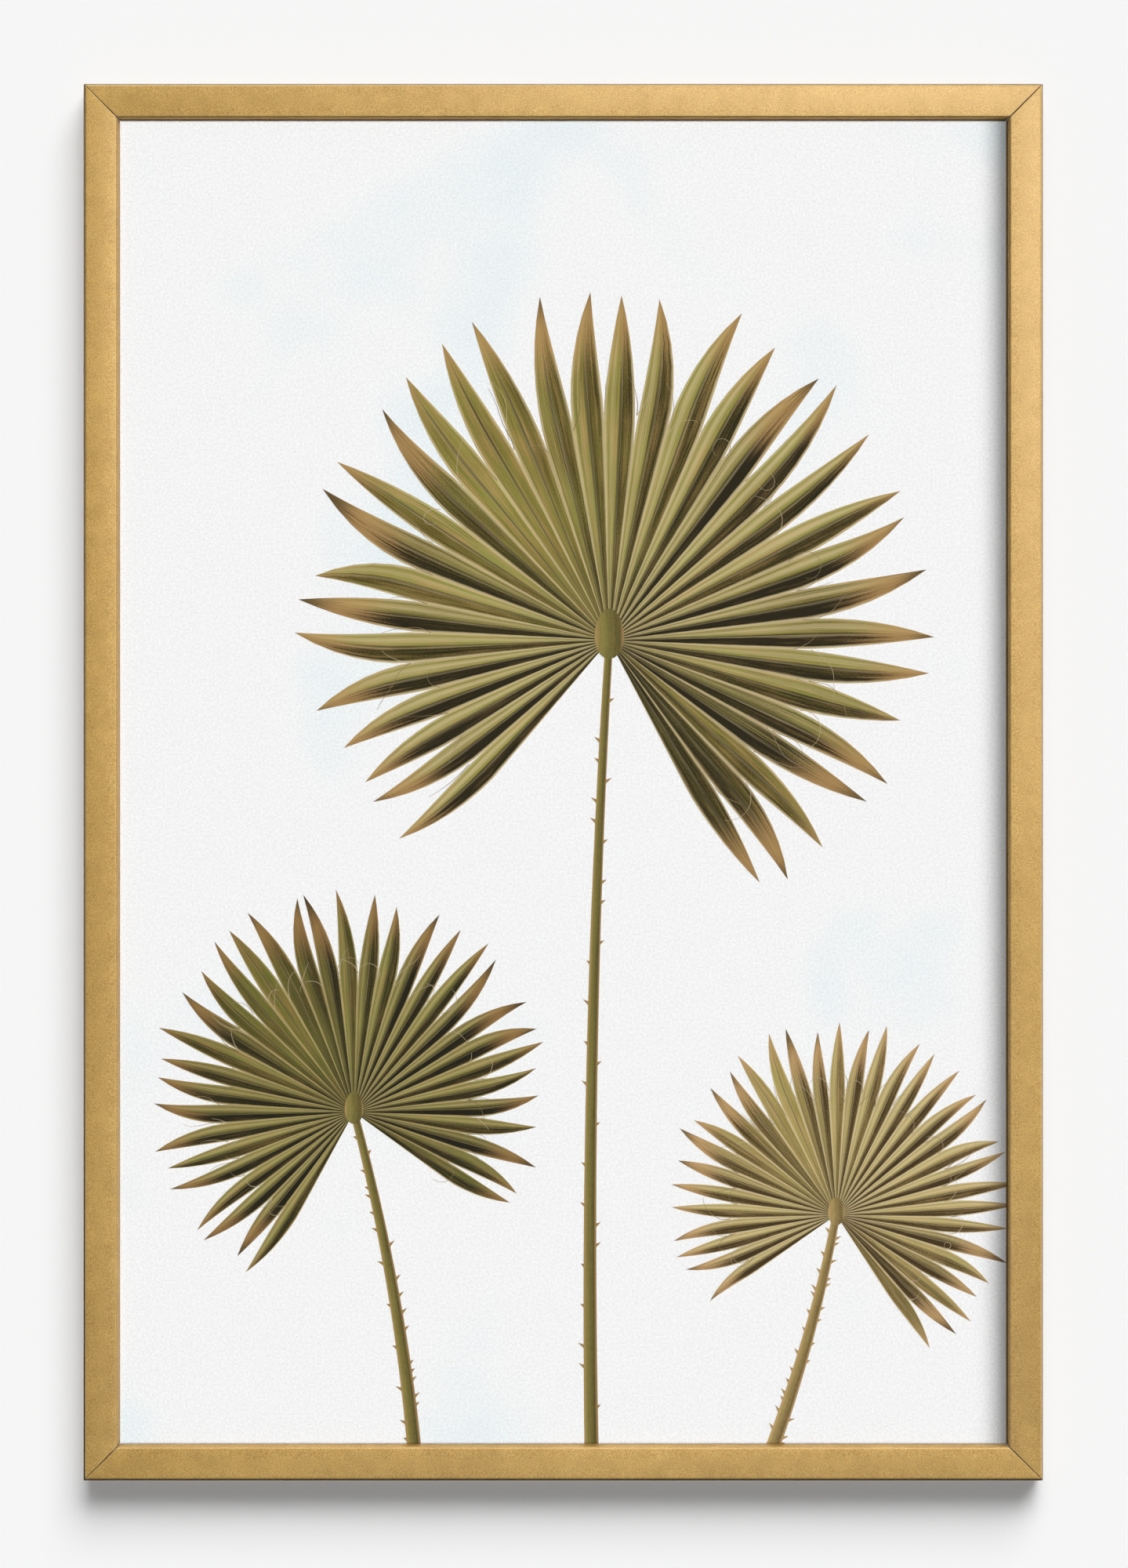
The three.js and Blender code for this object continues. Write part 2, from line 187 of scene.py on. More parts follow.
class Graph:
    """A material's node graph."""

    def __init__(self, name: str) -> None:
        """Makes an empty material.

        Args:
            name: The material's name.
        """
        self.material = bpy.data.materials.new(name)
        self.material.use_nodes = True
        self.tree = self.material.node_tree
        self.tree.nodes.clear()

    def node(
        self,
        kind: str,
        settings: Optional[Mapping[str, object]] = None,
        sockets: Optional[Mapping[Union[int, str], Input]] = None,
        output: Union[int, str] = 0,
    ) -> Value:
        """Adds one node.

        Args:
            kind: The node's type.
            settings: Its own properties, set first.
            sockets: Values or links for its inputs, by name or number.
            output: The output to give back.

        Returns:
            That output as a Value.
        """
        made = self.tree.nodes.new(kind)
        for key, setting in (settings or {}).items():
            setattr(made, key, setting)
        for key, value in (sockets or {}).items():
            if isinstance(value, Value):
                self.tree.links.new(value.socket, made.inputs[key])
            else:
                made.inputs[key].default_value = value
        return Value(self, made.outputs[output])

    def place(self) -> Value:
        """The point on the surface in the row frame, in metres."""
        return self.node("ShaderNodeTexCoord", output="Object")

    def mark(self, name: str) -> Value:
        """A number stored on the mesh."""
        return self.node("ShaderNodeAttribute", {"attribute_name": name}, output="Fac")

    def vector(self, x: Input, y: Input, z: Input = 0.0) -> Value:
        """Three numbers as one vector."""
        return self.node("ShaderNodeCombineXYZ", sockets={0: x, 1: y, 2: z})

    def grey(self, value: Input) -> Value:
        """A number as a neutral colour."""
        return self.vector(value, value, value)

    def noise(self, where: Value, scale: float, detail: float = 2.0, rough: float = 0.5) -> Value:
        """Soft noise of about 0 to 1.

        Args:
            where: The point to read it at.
            scale: Features for each unit of where.
            detail: Octaves added to it.
            rough: How strong each finer octave is.

        Returns:
            The noise as a number.
        """
        sockets = {"Vector": where, "Scale": scale, "Detail": detail, "Roughness": rough}
        return self.node("ShaderNodeTexNoise", sockets=sockets, output=0)

    def blend(self, share: Input, low: Input, high: Input, mode: str = "MIX") -> Value:
        """A mix of two colours.

        Args:
            share: 0 gives low, 1 gives the mode's full result with high.
            low: The first colour.
            high: The second colour.
            mode: The way of mixing.

        Returns:
            The mixed colour.
        """
        settings = {"data_type": "RGBA", "blend_type": mode, "clamp_factor": True}
        return self.node("ShaderNodeMix", settings, {0: share, 6: low, 7: high}, output=2)

    def bump(self, height: Value, distance: float, strength: float = 1.0) -> Value:
        """A normal that follows a height of 0 to 1 over a distance in metres."""
        sockets = {"Height": height, "Distance": distance, "Strength": strength}
        return self.node("ShaderNodeBump", sockets=sockets)

    def finish(self, sockets: Mapping[str, Input]) -> Material:
        """Ends the graph in one Principled shader with the given inputs."""
        return self.end(self.node("ShaderNodeBsdfPrincipled", sockets=sockets))

    def glow(self, colour: Input, strength: float = 1.0) -> Material:
        """Ends the graph in an Emission shader."""
        sockets = {"Color": colour, "Strength": strength}
        return self.end(self.node("ShaderNodeEmission", sockets=sockets))

    def end(self, shader: Value) -> Material:
        """Ends the graph in a shader.

        Args:
            shader: The shader's output.

        Returns:
            The finished material.
        """
        output = self.tree.nodes.new("ShaderNodeOutputMaterial")
        self.tree.links.new(shader.socket, output.inputs["Surface"])
        return self.material


# --- Finishes ----------------------------------------------------------------------------------


@dataclass(frozen=True)
class GoldFoil:
    """Satin gold foil: fine grit, soft blotches, wear and a painted highlight on arrises, painted
    shade in recesses.
    """

    deep: Colour = paint(200, 158, 76)
    light: Colour = paint(217, 175, 90)
    grazing: Colour = paint(196, 156, 96)
    # Pale colour of the arrises: wear and a painted highlight.
    worn_highlight: Colour = paint(238, 210, 160)
    metallic: float = 0.75
    roughness: float = 0.44
    lacquer: float = 0.8
    lacquer_roughness: float = 0.3
    lacquer_ior: float = 1.8
    grain_scale: float = 1750
    speckle_scale: float = 3100
    blotch_scale: float = 95
    cloud_scale: float = 9
    grit: tuple[float, float, float] = (0.85, 1.4, 2.7)
    wear_highlight_share: float = 0.4
    recess_shade: float = 0.72
    recess_roughness: float = 0.3
    relief: float = 0.05 * MM

    def material(self) -> Material:
        """Builds the material.

        Returns:
            The finished material.
        """
        g = Graph("gold_foil")
        place = g.place()
        grain = g.noise(place, self.grain_scale, 2.0, 0.65)
        speckle = g.noise(place, self.speckle_scale, 1.0)
        blotch = g.noise(place, self.blotch_scale, 3.0, 0.6)
        cloud = g.noise(place, self.cloud_scale, 2.0)
        tone = (blotch * 0.65 + cloud * 0.35).step(0.3, 0.7)
        foil = g.blend(tone, self.deep, self.light)
        # Arrises lightened with wear and a painted highlight.
        wear_highlight = (g.mark("arris") * (0.45 + blotch * 0.9)).within(0.0, 1.0)
        foil = g.blend(wear_highlight * self.wear_highlight_share, foil, self.worn_highlight)
        # Painted shade: the recess mark darkens the foil in the lips, the outer step and the mitre
        # ends.
        recess = g.mark("recess")
        grit = 1.4 * grain + 0.6 * speckle - 1
        painted_shade = 1 - self.recess_shade * recess
        tint = g.vector(*((1 + strength * grit) * painted_shade for strength in self.grit))
        foil = g.blend(1.0, foil, tint, "MULTIPLY")
        rough = self.roughness + 0.22 * (grain - 0.5) + 0.1 * (blotch - 0.5) - 0.06 * wear_highlight
        return g.finish({
            "Base Color": foil,
            "Metallic": self.metallic,
            "Roughness": rough + self.recess_roughness * recess,
            "Specular Tint": self.grazing,
            "Coat Weight": self.lacquer * (1 - recess) * (0.5 + grain),
            "Coat Roughness": self.lacquer_roughness,
            "Coat IOR": self.lacquer_ior,
            "Normal": g.bump(grain + 0.4 * speckle, self.relief, 0.5),
        })


@dataclass(frozen=True)
class RawPine:
    """Planed softwood with its grain along the rail."""

    early: Colour = paint(234, 206, 160)
    late: Colour = paint(184, 136, 82)
    pore: Colour = paint(128, 88, 52)
    rings: float = 560
    ring_sway: float = 9 * MM
    fibres: float = 4200
    pores: float = 3000
    relief: float = 0.08 * MM

    def material(self) -> Material:
        """Builds the material.

        Returns:
            The finished material.
        """
        g = Graph("raw_pine")
        run, girth = g.mark("run"), g.mark("girth")
        sway = g.noise(g.vector(run * 7, girth * 24), 1.0, 2.0) * self.ring_sway
        ring = g.noise(g.vector(run * 3.5, (girth + sway) * self.rings), 1.0, 3.0, 0.6)
        fibre = g.noise(g.vector(run * 75, girth * self.fibres), 1.0, 2.0)
        figure = (ring * 0.75 + fibre * 0.25).step(0.38, 0.62)
        wood = g.blend(figure, self.early, self.late)
        dash = g.noise(g.vector(run * 140, girth * self.pores, 3.0), 1.0, 2.0).step(0.62, 0.76)
        wood = g.blend(dash * 0.45, wood, self.pore)
        stain = g.noise(g.vector(run * 14, girth * 90, 7.0), 1.0, 2.0)
        wood = g.blend(stain.step(0.45, 0.8) * 0.35, wood, self.late)
        return g.finish({
            "Base Color": wood,
            "Roughness": 0.68 + 0.2 * fibre,
            "Normal": g.bump(fibre * 0.6 + ring * 0.4, self.relief, 0.6),
        })


@dataclass(frozen=True)
class ArtPaper:
    """Off-white art paper, finely grained, with a few faint pale blue washes."""

    ground: Colour = paint(246, 246, 246)
    wash: Colour = paint(233, 242, 245)
    grain_scale: float = 850
    grain_contrast: float = 0.46
    relief: float = 0.03 * MM

    def material(self) -> Material:
        """Builds the material.

        Returns:
            The finished material.
        """
        g = Graph("art_paper")
        place = g.place()
        cloud = g.noise(place, 5.5, 2.0, 0.45)
        veil = g.noise(place, 16, 2.0, 0.5)
        mask = (cloud * 0.75 + veil * 0.25).step(0.52, 0.66)
        paper = g.blend(mask * 0.9, self.ground, self.wash)
        grain = g.noise(place, self.grain_scale, 2.0, 0.6)
        texture = 1 - self.grain_contrast / 2 + self.grain_contrast * grain
        paper = g.blend(1.0, paper, g.grey(texture), "MULTIPLY")
        return g.finish({
            "Base Color": paper,
            "Roughness": 0.84 + 0.12 * grain,
            "Normal": g.bump(grain, self.relief, 0.4),
        })


@dataclass(frozen=True)
class LeafInk:
    """Printed ink of a pleated palm leaf: lit and shaded folds, veins, ridges and dry tips."""

    name: str
    deep: Colour
    body: Colour
    fresh: Colour
    dry: Colour
    ridge: Colour
    gloss: float = 0.12

    def material(self) -> Material:
        """Builds the material.

        Returns:
            The finished material.
        """
        g = Graph(self.name)
        place = g.place()
        across, along = g.mark("across"), g.mark("along")
        lit, tone, chance = g.mark("lit"), g.mark("tone"), g.mark("chance")
        fold = (across * 7).within(-1.0, 1.0) * lit
        broad = g.noise(g.vector(across * 4 + chance * 31, along * 2.2, chance * 17), 1.0, 2.0)
        vein = g.noise(g.vector(across * 15 + chance * 53, along * 3.2, chance * 29), 1.0, 2.0)
        where = g.vector(across * 44 + chance * 71, along * 2.6, chance * 13)
        fibre = g.noise(where, 1.0, 2.0, 0.7)
        wash = g.noise(place, 24, 2.0)
        busy = g.noise(place, 900, 2.0, 0.65)
        # Lit and shaded sides of the pleats.
        shade = 0.4 + 0.5 * fold + 0.18 * tone + 0.5 * (chance - 0.5) + 1.2 * (fibre - 0.5)
        shade = shade + 0.9 * (vein - 0.5) + 0.7 * (broad - 0.5) + 0.6 * (busy - 0.5)
        shade = shade.within(0.0, 1.0)
        leaf = g.blend(shade, self.deep, self.body)
        # Greener and rusty stretches.
        fresh = 0.35 + 0.45 * fold + 1.6 * (wash - 0.5) + 0.8 * (vein - 0.5) + 0.5 * (chance - 0.5)
        leaf = g.blend(fresh.within(0.0, 0.85) * shade, leaf, self.fresh)
        rust = g.noise(g.vector(across * 3 + chance * 19, along * 6, chance * 41), 1.0, 3.0)
        rust = 2.4 * (rust - 0.5) + 0.5 * (chance - 0.5)
        leaf = g.blend(rust.within(0.0, 0.65) * (0.25 + 0.75 * shade), leaf, self.dry)
        # The crease, the heart, pale ridges and edges, and the dry tip.
        crease = 1 - abs(across).step(0.01, 0.14)
        heart = 1 - along.step(0.02, 0.4)
        leaf = g.blend((crease * 0.8 + heart * 0.4).within(0.0, 0.9), leaf, self.deep)
        glint = (fold - 0.3) * (1 - abs(abs(across) - 0.5) * 3) + 1.4 * (fibre - 0.5)
        leaf = g.blend(glint.within(0.0, 0.6), leaf, self.ridge)
        edge = abs(across).step(0.78, 0.93) * (0.3 + 0.7 * vein)
        leaf = g.blend(edge * 0.85, leaf, self.ridge)
        reach = along + 0.34 * (vein - 0.5) - 0.2 * (chance - 0.5) + 0.08 * (busy - 0.5)
        leaf = g.blend(reach.step(0.74, 0.93) * 0.8, leaf, self.dry)
        leaf = g.blend(reach.step(0.93, 1.02) * 0.75, leaf, self.deep)
        return g.finish({
            "Base Color": leaf,
            "Roughness": 0.8 + 0.12 * busy,
            "Specular IOR Level": self.gloss,
        })


@dataclass(frozen=True)
class StalkInk:
    """Printed ink of a palm's stalk, heart and thorns: rounded, streaked and tan at its edges."""

    name: str
    deep: Colour
    body: Colour
    edge: Colour
    gloss: float = 0.12

    def material(self) -> Material:
        """Builds the material.

        Returns:
            The finished material.
        """
        g = Graph(self.name)
        place = g.place()
        across = g.mark("across")
        streak = g.noise(g.vector(across * 5, g.mark("along") * 9, g.mark("chance") * 11), 1.0, 3.0)
        busy = g.noise(place, 620, 2.0, 0.6)
        shade = 0.5 - 0.42 * across + 0.5 * (streak - 0.5) + 0.3 * (busy - 0.5)
        stalk = g.blend(shade.within(0.0, 1.0), self.deep, self.body)
        stalk = g.blend(abs(across).step(0.55, 0.9) * 0.75, stalk, self.edge)
        return g.finish({
            "Base Color": stalk,
            "Roughness": 0.8 + 0.12 * busy,
            "Specular IOR Level": self.gloss,
        })


@dataclass(frozen=True)
class ThreadInk:
    """Printed ink of the loose threads between a palm's segments."""

    pale: Colour = paint(206, 186, 150)
    dark: Colour = paint(112, 92, 56)

    def material(self) -> Material:
        """Builds the material.

        Returns:
            The finished material.
        """
        g = Graph("thread_ink")
        busy = g.noise(g.place(), 420, 2.0)
        share = (g.mark("chance") * 0.8 + busy * 0.4).within(0.0, 1.0)
        return g.finish({
            "Base Color": g.blend(share, self.pale, self.dark),
            "Roughness": 0.8 + 0.12 * busy,
        })


@dataclass(frozen=True)
class ClearAcrylic:
    """Clear sheet that shows what is behind it and mirrors a little at its surface."""

    clear: Colour = (0.99, 0.99, 0.99, 1.0)
    straight_on: float = 0.04

    def material(self) -> Material:
        """Builds the material.

        Returns:
            The finished material.
        """
        g = Graph("clear_acrylic")
        haze = g.noise(g.place(), 12, 2.0)
        through = g.node("ShaderNodeBsdfTransparent", sockets={"Color": self.clear})
        sockets = {"Color": WHITE, "Roughness": 0.04 + 0.03 * haze}
        sheen = g.node("ShaderNodeBsdfGlossy", sockets=sockets)
        facing = g.node("ShaderNodeLayerWeight", sockets={"Blend": 0.5}, output="Facing")
        share = self.straight_on + (1 - self.straight_on) * facing ** 5
        return g.end(g.node("ShaderNodeMixShader", sockets={0: share, 1: through, 2: sheen}))


@dataclass(frozen=True)
class Hardboard:
    """Pressed brown fibreboard with the print of its press screen."""

    dark: Colour = paint(104, 70, 44)
    mid: Colour = paint(152, 110, 72)
    pale: Colour = paint(200, 162, 118)
    fibre_scale: float = 620
    fleck_scale: float = 430
    screen_pitch: float = 2.2 * MM
    relief: float = 0.12 * MM

    def material(self) -> Material:
        """Builds the material.

        Returns:
            The finished material.
        """
        g = Graph("hardboard")
        place = g.place()
        x = g.node("ShaderNodeSeparateXYZ", sockets={0: place}, output="X")
        turn = 2 * math.pi / self.screen_pitch
        weave = (x * turn).sine() * (x.other("Z") * turn).sine()
        fibre = g.noise(place, self.fibre_scale, 4.0, 0.75)
        cloud = g.noise(place, 9, 3.0)
        fleck = g.noise(place, self.fleck_scale, 2.0, 0.6)
        board = g.blend((fibre * 0.8 + cloud * 0.2).step(0.34, 0.64), self.dark, self.mid)
        board = g.blend(fleck.step(0.58, 0.72) * 0.55, board, self.pale)
        board = g.blend((0.42 - fleck).step(0.0, 0.1) * 0.5, board, self.dark)
        board = g.blend((0.5 - 0.5 * weave) * 0.3, board, self.dark)
        return g.finish({
            "Base Color": board,
            "Roughness": 0.7 + 0.2 * fibre,
            "Normal": g.bump(0.5 + 0.3 * weave + 0.4 * fibre, self.relief, 0.6),
        })


@dataclass(frozen=True)
class ZincSteel:
    """Zinc-plated steel with a faint bloom and rubbed marks."""

    bright: Colour = paint(205, 208, 212)
    painted_shade: Colour = paint(150, 154, 160)
    metallic: float = 0.92
    roughness: float = 0.34
    bloom_scale: float = 480
    rub_scale: float = 2200
    relief: float = 0.01 * MM

    def material(self) -> Material:
        """Builds the material.

        Returns:
            The finished material.
        """
        g = Graph("zinc_steel")
        place = g.place()
        bloom = g.noise(place, self.bloom_scale, 3.0, 0.6)
        rub = g.noise(place, self.rub_scale, 2.0)
        return g.finish({
            "Base Color": g.blend(bloom.step(0.35, 0.7), self.bright, self.painted_shade),
            "Metallic": self.metallic,
            "Roughness": self.roughness + 0.2 * (bloom - 0.5) + 0.12 * (rub - 0.5),
            "Normal": g.bump(rub, self.relief, 0.5),
        })


@dataclass(frozen=True)
class Flecked:
    """A matt finish with fine flecks over a base colour."""

    name: str
    base: Colour
    fleck: Colour
    scale: float
    ragged: float
    cover: tuple[float, float]
    roughness: float
    uneven: float
    relief: float

    def material(self) -> Material:
        """Builds the material.

        Returns:
            The finished material.
        """
        g = Graph(self.name)
        fleck = g.noise(g.place(), self.scale, 3.0, self.ragged)
        return g.finish({
            "Base Color": g.blend(fleck.step(*self.cover), self.base, self.fleck),
            "Roughness": self.roughness + self.uneven * fleck,
            "Normal": g.bump(fleck, self.relief, 0.5),
        })


FIBROUS_CARD = Flecked(
    name="backing_card",
    base=paint(236, 232, 222),
    fleck=paint(202, 196, 182),
    scale=700,
    ragged=0.7,
    cover=(0.4, 0.75),
    roughness=0.85,
    uneven=0.1,
    relief=0.05 * MM,
)
DUSTY_RUBBER = Flecked(
    name="bumper_rubber",
    base=paint(40, 40, 42),
    fleck=paint(74, 73, 72),
    scale=480,
    ragged=0.6,
    cover=(0.4, 0.8),
    roughness=0.62,
    uneven=0.25,
    relief=0.03 * MM,
)


@dataclass(frozen=True)
class PalePaint:
    """Plain matt paint for the wall and the floor."""

    name: str
    colour: Colour
    one_sided: bool = False

    def material(self) -> Material:
        """Builds the material.

        Returns:
            The finished material, clear from behind where it is one-sided.
        """
        g = Graph(self.name)
        matt = g.node("ShaderNodeBsdfDiffuse", sockets={"Color": self.colour})
        if not self.one_sided:
            return g.end(matt)
        behind = g.node("ShaderNodeNewGeometry", output="Backfacing")
        nothing = g.node("ShaderNodeBsdfTransparent")
        return g.end(g.node("ShaderNodeMixShader", sockets={0: behind, 1: matt, 2: nothing}))


# --- Meshes ------------------------------------------------------------------------------------


class MeshPlan:
    """Points, their stored numbers and faces, gathered before they become one mesh."""

    def __init__(self, *marks: str) -> None:
        """Starts an empty plan.

        Args:
            marks: Names of the numbers that every point carries.
        """
        self.points: list[Vector] = []
        self.faces: list[tuple[int, ...]] = []
        self.finishes: list[int] = []
        self.marks: dict[str, list[float]] = {name: [] for name in marks}

    def point(self, place: Sequence[float], **marks: float) -> int:
        """Adds a point.

        Args:
            place: Where it is, in metres.
            marks: Its number for each mark of the plan.

        Returns:
            The point's index.
        """
        self.points.append(Vector(place))
        for name, values in self.marks.items():
            values.append(marks.get(name, 0.0))
        return len(self.points) - 1

    def face(self, corners: Sequence[int], finish: int = 0) -> None:
        """Adds a face on points given by index, with the number of its finish."""
        self.faces.append(tuple(corners))
        self.finishes.append(finish)

    def strip(self, first: Sequence[int], second: Sequence[int], finish: int = 0) -> None:
        """Joins two rows of points of equal length with a row of quads."""
        for i in range(len(first) - 1):
            self.face((first[i], first[i + 1], second[i + 1], second[i]), finish)

    def strips(self, rows: Sequence[Sequence[int]]) -> None:
        """Joins each row of points to the next one."""
        for first, second in zip(rows, rows[1:]):
            self.strip(first, second)

    def fan(self, middle: int, row: Sequence[int], way: int = 1) -> None:
        """Joins a point to a row of points with triangles, the other way round for a way of -1."""
        for a, b in zip(row, row[1:]):
            self.face((middle, a, b)[::way])

    def box(self, low: Sequence[float], high: Sequence[float], finish: int = 0) -> None:
        """Adds a box.

        Args:
            low: Its lowest corner.
            high: Its highest corner.
            finish: The number of its finish.
        """
        corner = [
            self.point([(low, high)[(i >> axis) & 1][axis] for axis in range(3)]) for i in range(8)
        ]
        sides = ((0, 2, 3, 1), (4, 5, 7, 6), (0, 1, 5, 4), (2, 6, 7, 3), (0, 4, 6, 2), (1, 3, 7, 5))
        for quad in sides:
            self.face([corner[i] for i in quad], finish)

    def build(self, name: str, finishes: Sequence[Material]) -> Object:
        """Makes the object.

        Args:
            name: The piece's name.
            finishes: Its materials in the order that the faces number them.

        Returns:
            The object, linked into the scene.
        """
        mesh = bpy.data.meshes.new(name)
        mesh.from_pydata(self.points, [], self.faces)
        for material in finishes:
            mesh.materials.append(material)
        mesh.polygons.foreach_set("material_index", self.finishes)
        for key, values in self.marks.items():
            corners = [values[i] for face in self.faces for i in face]
            mesh.attributes.new(key, "FLOAT", "CORNER").data.foreach_set("value", corners)
        mesh.validate()
        piece = bpy.data.objects.new(name, mesh)
        bpy.context.scene.collection.objects.link(piece)
        return piece


def settle(piece: Object) -> None:
    """Applies a piece's modifiers to its mesh.

    Args:
        piece: The object that has them.
    """
    graph = bpy.context.evaluated_depsgraph_get()
    mesh = bpy.data.meshes.new_from_object(piece.evaluated_get(graph))
    piece.modifiers.clear()
    piece.data = mesh


def modify(piece: Object, kind: str, **settings: object) -> None:
    """Adds a modifier.

    Args:
        piece: The object to add it to.
        kind: The modifier's type.
        settings: Its properties.
    """
    modifier = piece.modifiers.new(kind.title(), kind)
    for key, value in settings.items():
        setattr(modifier, key, value)


def shade(piece: Object, angle: float = 35.0) -> None:
    """Smooth shading over a piece, with sharp edges past an angle in degrees."""
    piece.data.polygons.foreach_set("use_smooth", [True] * len(piece.data.polygons))
    piece.data.set_sharp_from_angle(angle=math.radians(angle))


def turned_plan(profile: Sequence[tuple[float, float]], segments: int) -> MeshPlan:
    """A piece turned about Y.

    Args:
        profile: Radius and y of each ring, with the first and last on the axis.
        segments: Points round each ring.

    Returns:
        The plan, about the origin.
    """
    plan = MeshPlan()
    turns = [2 * math.pi * i / segments for i in range(segments)]
    rings = []
    for radius, y in profile[1:-1]:
        ring = [plan.point((radius * math.cos(t), y, radius * math.sin(t))) for t in turns]
        rings.append(ring + ring[:1])
    for lower, upper in zip(rings, rings[1:]):
        plan.strip(upper, lower)
    for (_, y), ring, way in ((profile[0], rings[0], 1), (profile[-1], rings[-1], -1)):
        plan.fan(plan.point((0, y, 0)), ring, way)
    return plan


def cut(piece: Object, plan: MeshPlan, finish: Material) -> None:
    """Cuts the closed shapes of a plan out of a piece and applies the cut.

    Args:
        piece: The piece.
        plan: The shapes to cut out of it.
        finish: The material of the cut's faces that are numbered 1.
    """
    cutter = plan.build("cutter", [piece.data.materials[0], finish])
    modify(piece, "BOOLEAN", object=cutter, operation="DIFFERENCE", solver="EXACT")
    settle(piece)
    bpy.data.objects.remove(cutter)


def add_piece(piece: Object, node: str) -> None:
    """Makes a piece ride on the body and hides the CAD node that it stands for.

    Args:
        piece: The finished object.
        node: The CAD node that it replaces.
    """
    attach(piece, BODY)
    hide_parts(node)
    log.info("%s: %d faces", piece.name, len(piece.data.polygons))


def dress_node(name: str, finish: Material, bevel: float = 0.0) -> None:
    """Gives a carried-over CAD node its finish and eases its edges.

    Args:
        name: The node.
        finish: Its material.
        bevel: Width of the eased edges in metres, or 0 for none.
    """
    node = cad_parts[name]
    node.data.materials.clear()
    node.data.materials.append(finish)
    if bevel:
        modify(node, "BEVEL", width=bevel, segments=2, limit_method="ANGLE", harden_normals=False)
    log.info("%s: dressed in %s", name, finish.name)


# --- The moulding ------------------------------------------------------------------------------


class Side(Enum):
    """The frame's four sides, by their quarter turns from the top."""

    TOP = 0
    RIGHT = 1
    BOTTOM = 2
    LEFT = 3

    @property
    def label(self) -> str:
        """The side's name as the nodes have it."""
        return self.name.lower()

    @property
    def upright(self) -> bool:
        """Whether the side stands upright."""
        return self in (Side.LEFT, Side.RIGHT)

    @property
    def lip_in_shade(self) -> bool:
        """Whether the side's lip faces away from the light and is painted darker with shade."""
        return self in (Side.TOP, Side.RIGHT)

    @property
    def turn(self) -> Matrix:
        """The turn from the top side's place to this side's."""
        return Matrix.Rotation(self.value * math.pi / 2, 4, "Y")


@dataclass(frozen=True)
class SectionPoint:
    """A point of the rail's section: u from the outer edge, v from the front, and its marks."""

    u: float
    v: float
    worn_highlight: float = 0.0
    recess: float = 0.0
    finish: int = 0

    @property
    def flat(self) -> Vector:
        """The point as a vector."""
        return Vector((self.u, self.v))


@dataclass(frozen=True)
class SectionCorner(SectionPoint):
    """A corner of the rail's section, sharp or rounded."""

    radius: float = 0.0

    def rounded(
        self, last: SectionPoint, following: SectionPoint, steps: int
    ) -> list[SectionPoint]:
        """The corner's points.

        Args:
            last: The corner before it.
            following: The corner after it.
            steps: Segments of its rounding.

        Returns:
            One point for a sharp corner, and otherwise a curve that is most worn, with a painted
            highlight, in its middle.
        """
        spots = [(self.flat, self.worn_highlight)]
        if self.radius:
            start = self.flat + (last.flat - self.flat).normalized() * self.radius
            end = self.flat + (following.flat - self.flat).normalized() * self.radius
            spots = []
            for t in (k / steps for k in range(steps + 1)):
                bend = start * (1 - t) ** 2 + self.flat * 2 * t * (1 - t) + end * t ** 2
                spots.append((bend, self.worn_highlight * math.sin(math.pi * t)))
        return [SectionPoint(at.x, at.y, worn_highlight, self.recess, self.finish) for at, worn_highlight in spots]


@dataclass(frozen=True)
class Station:
    """A loop of a rail near its mitre: how far back, how far drawn in, and its marks."""

    back: float
    ease: float
    worn_highlight: float = 0.0
    recess: float = 0.0


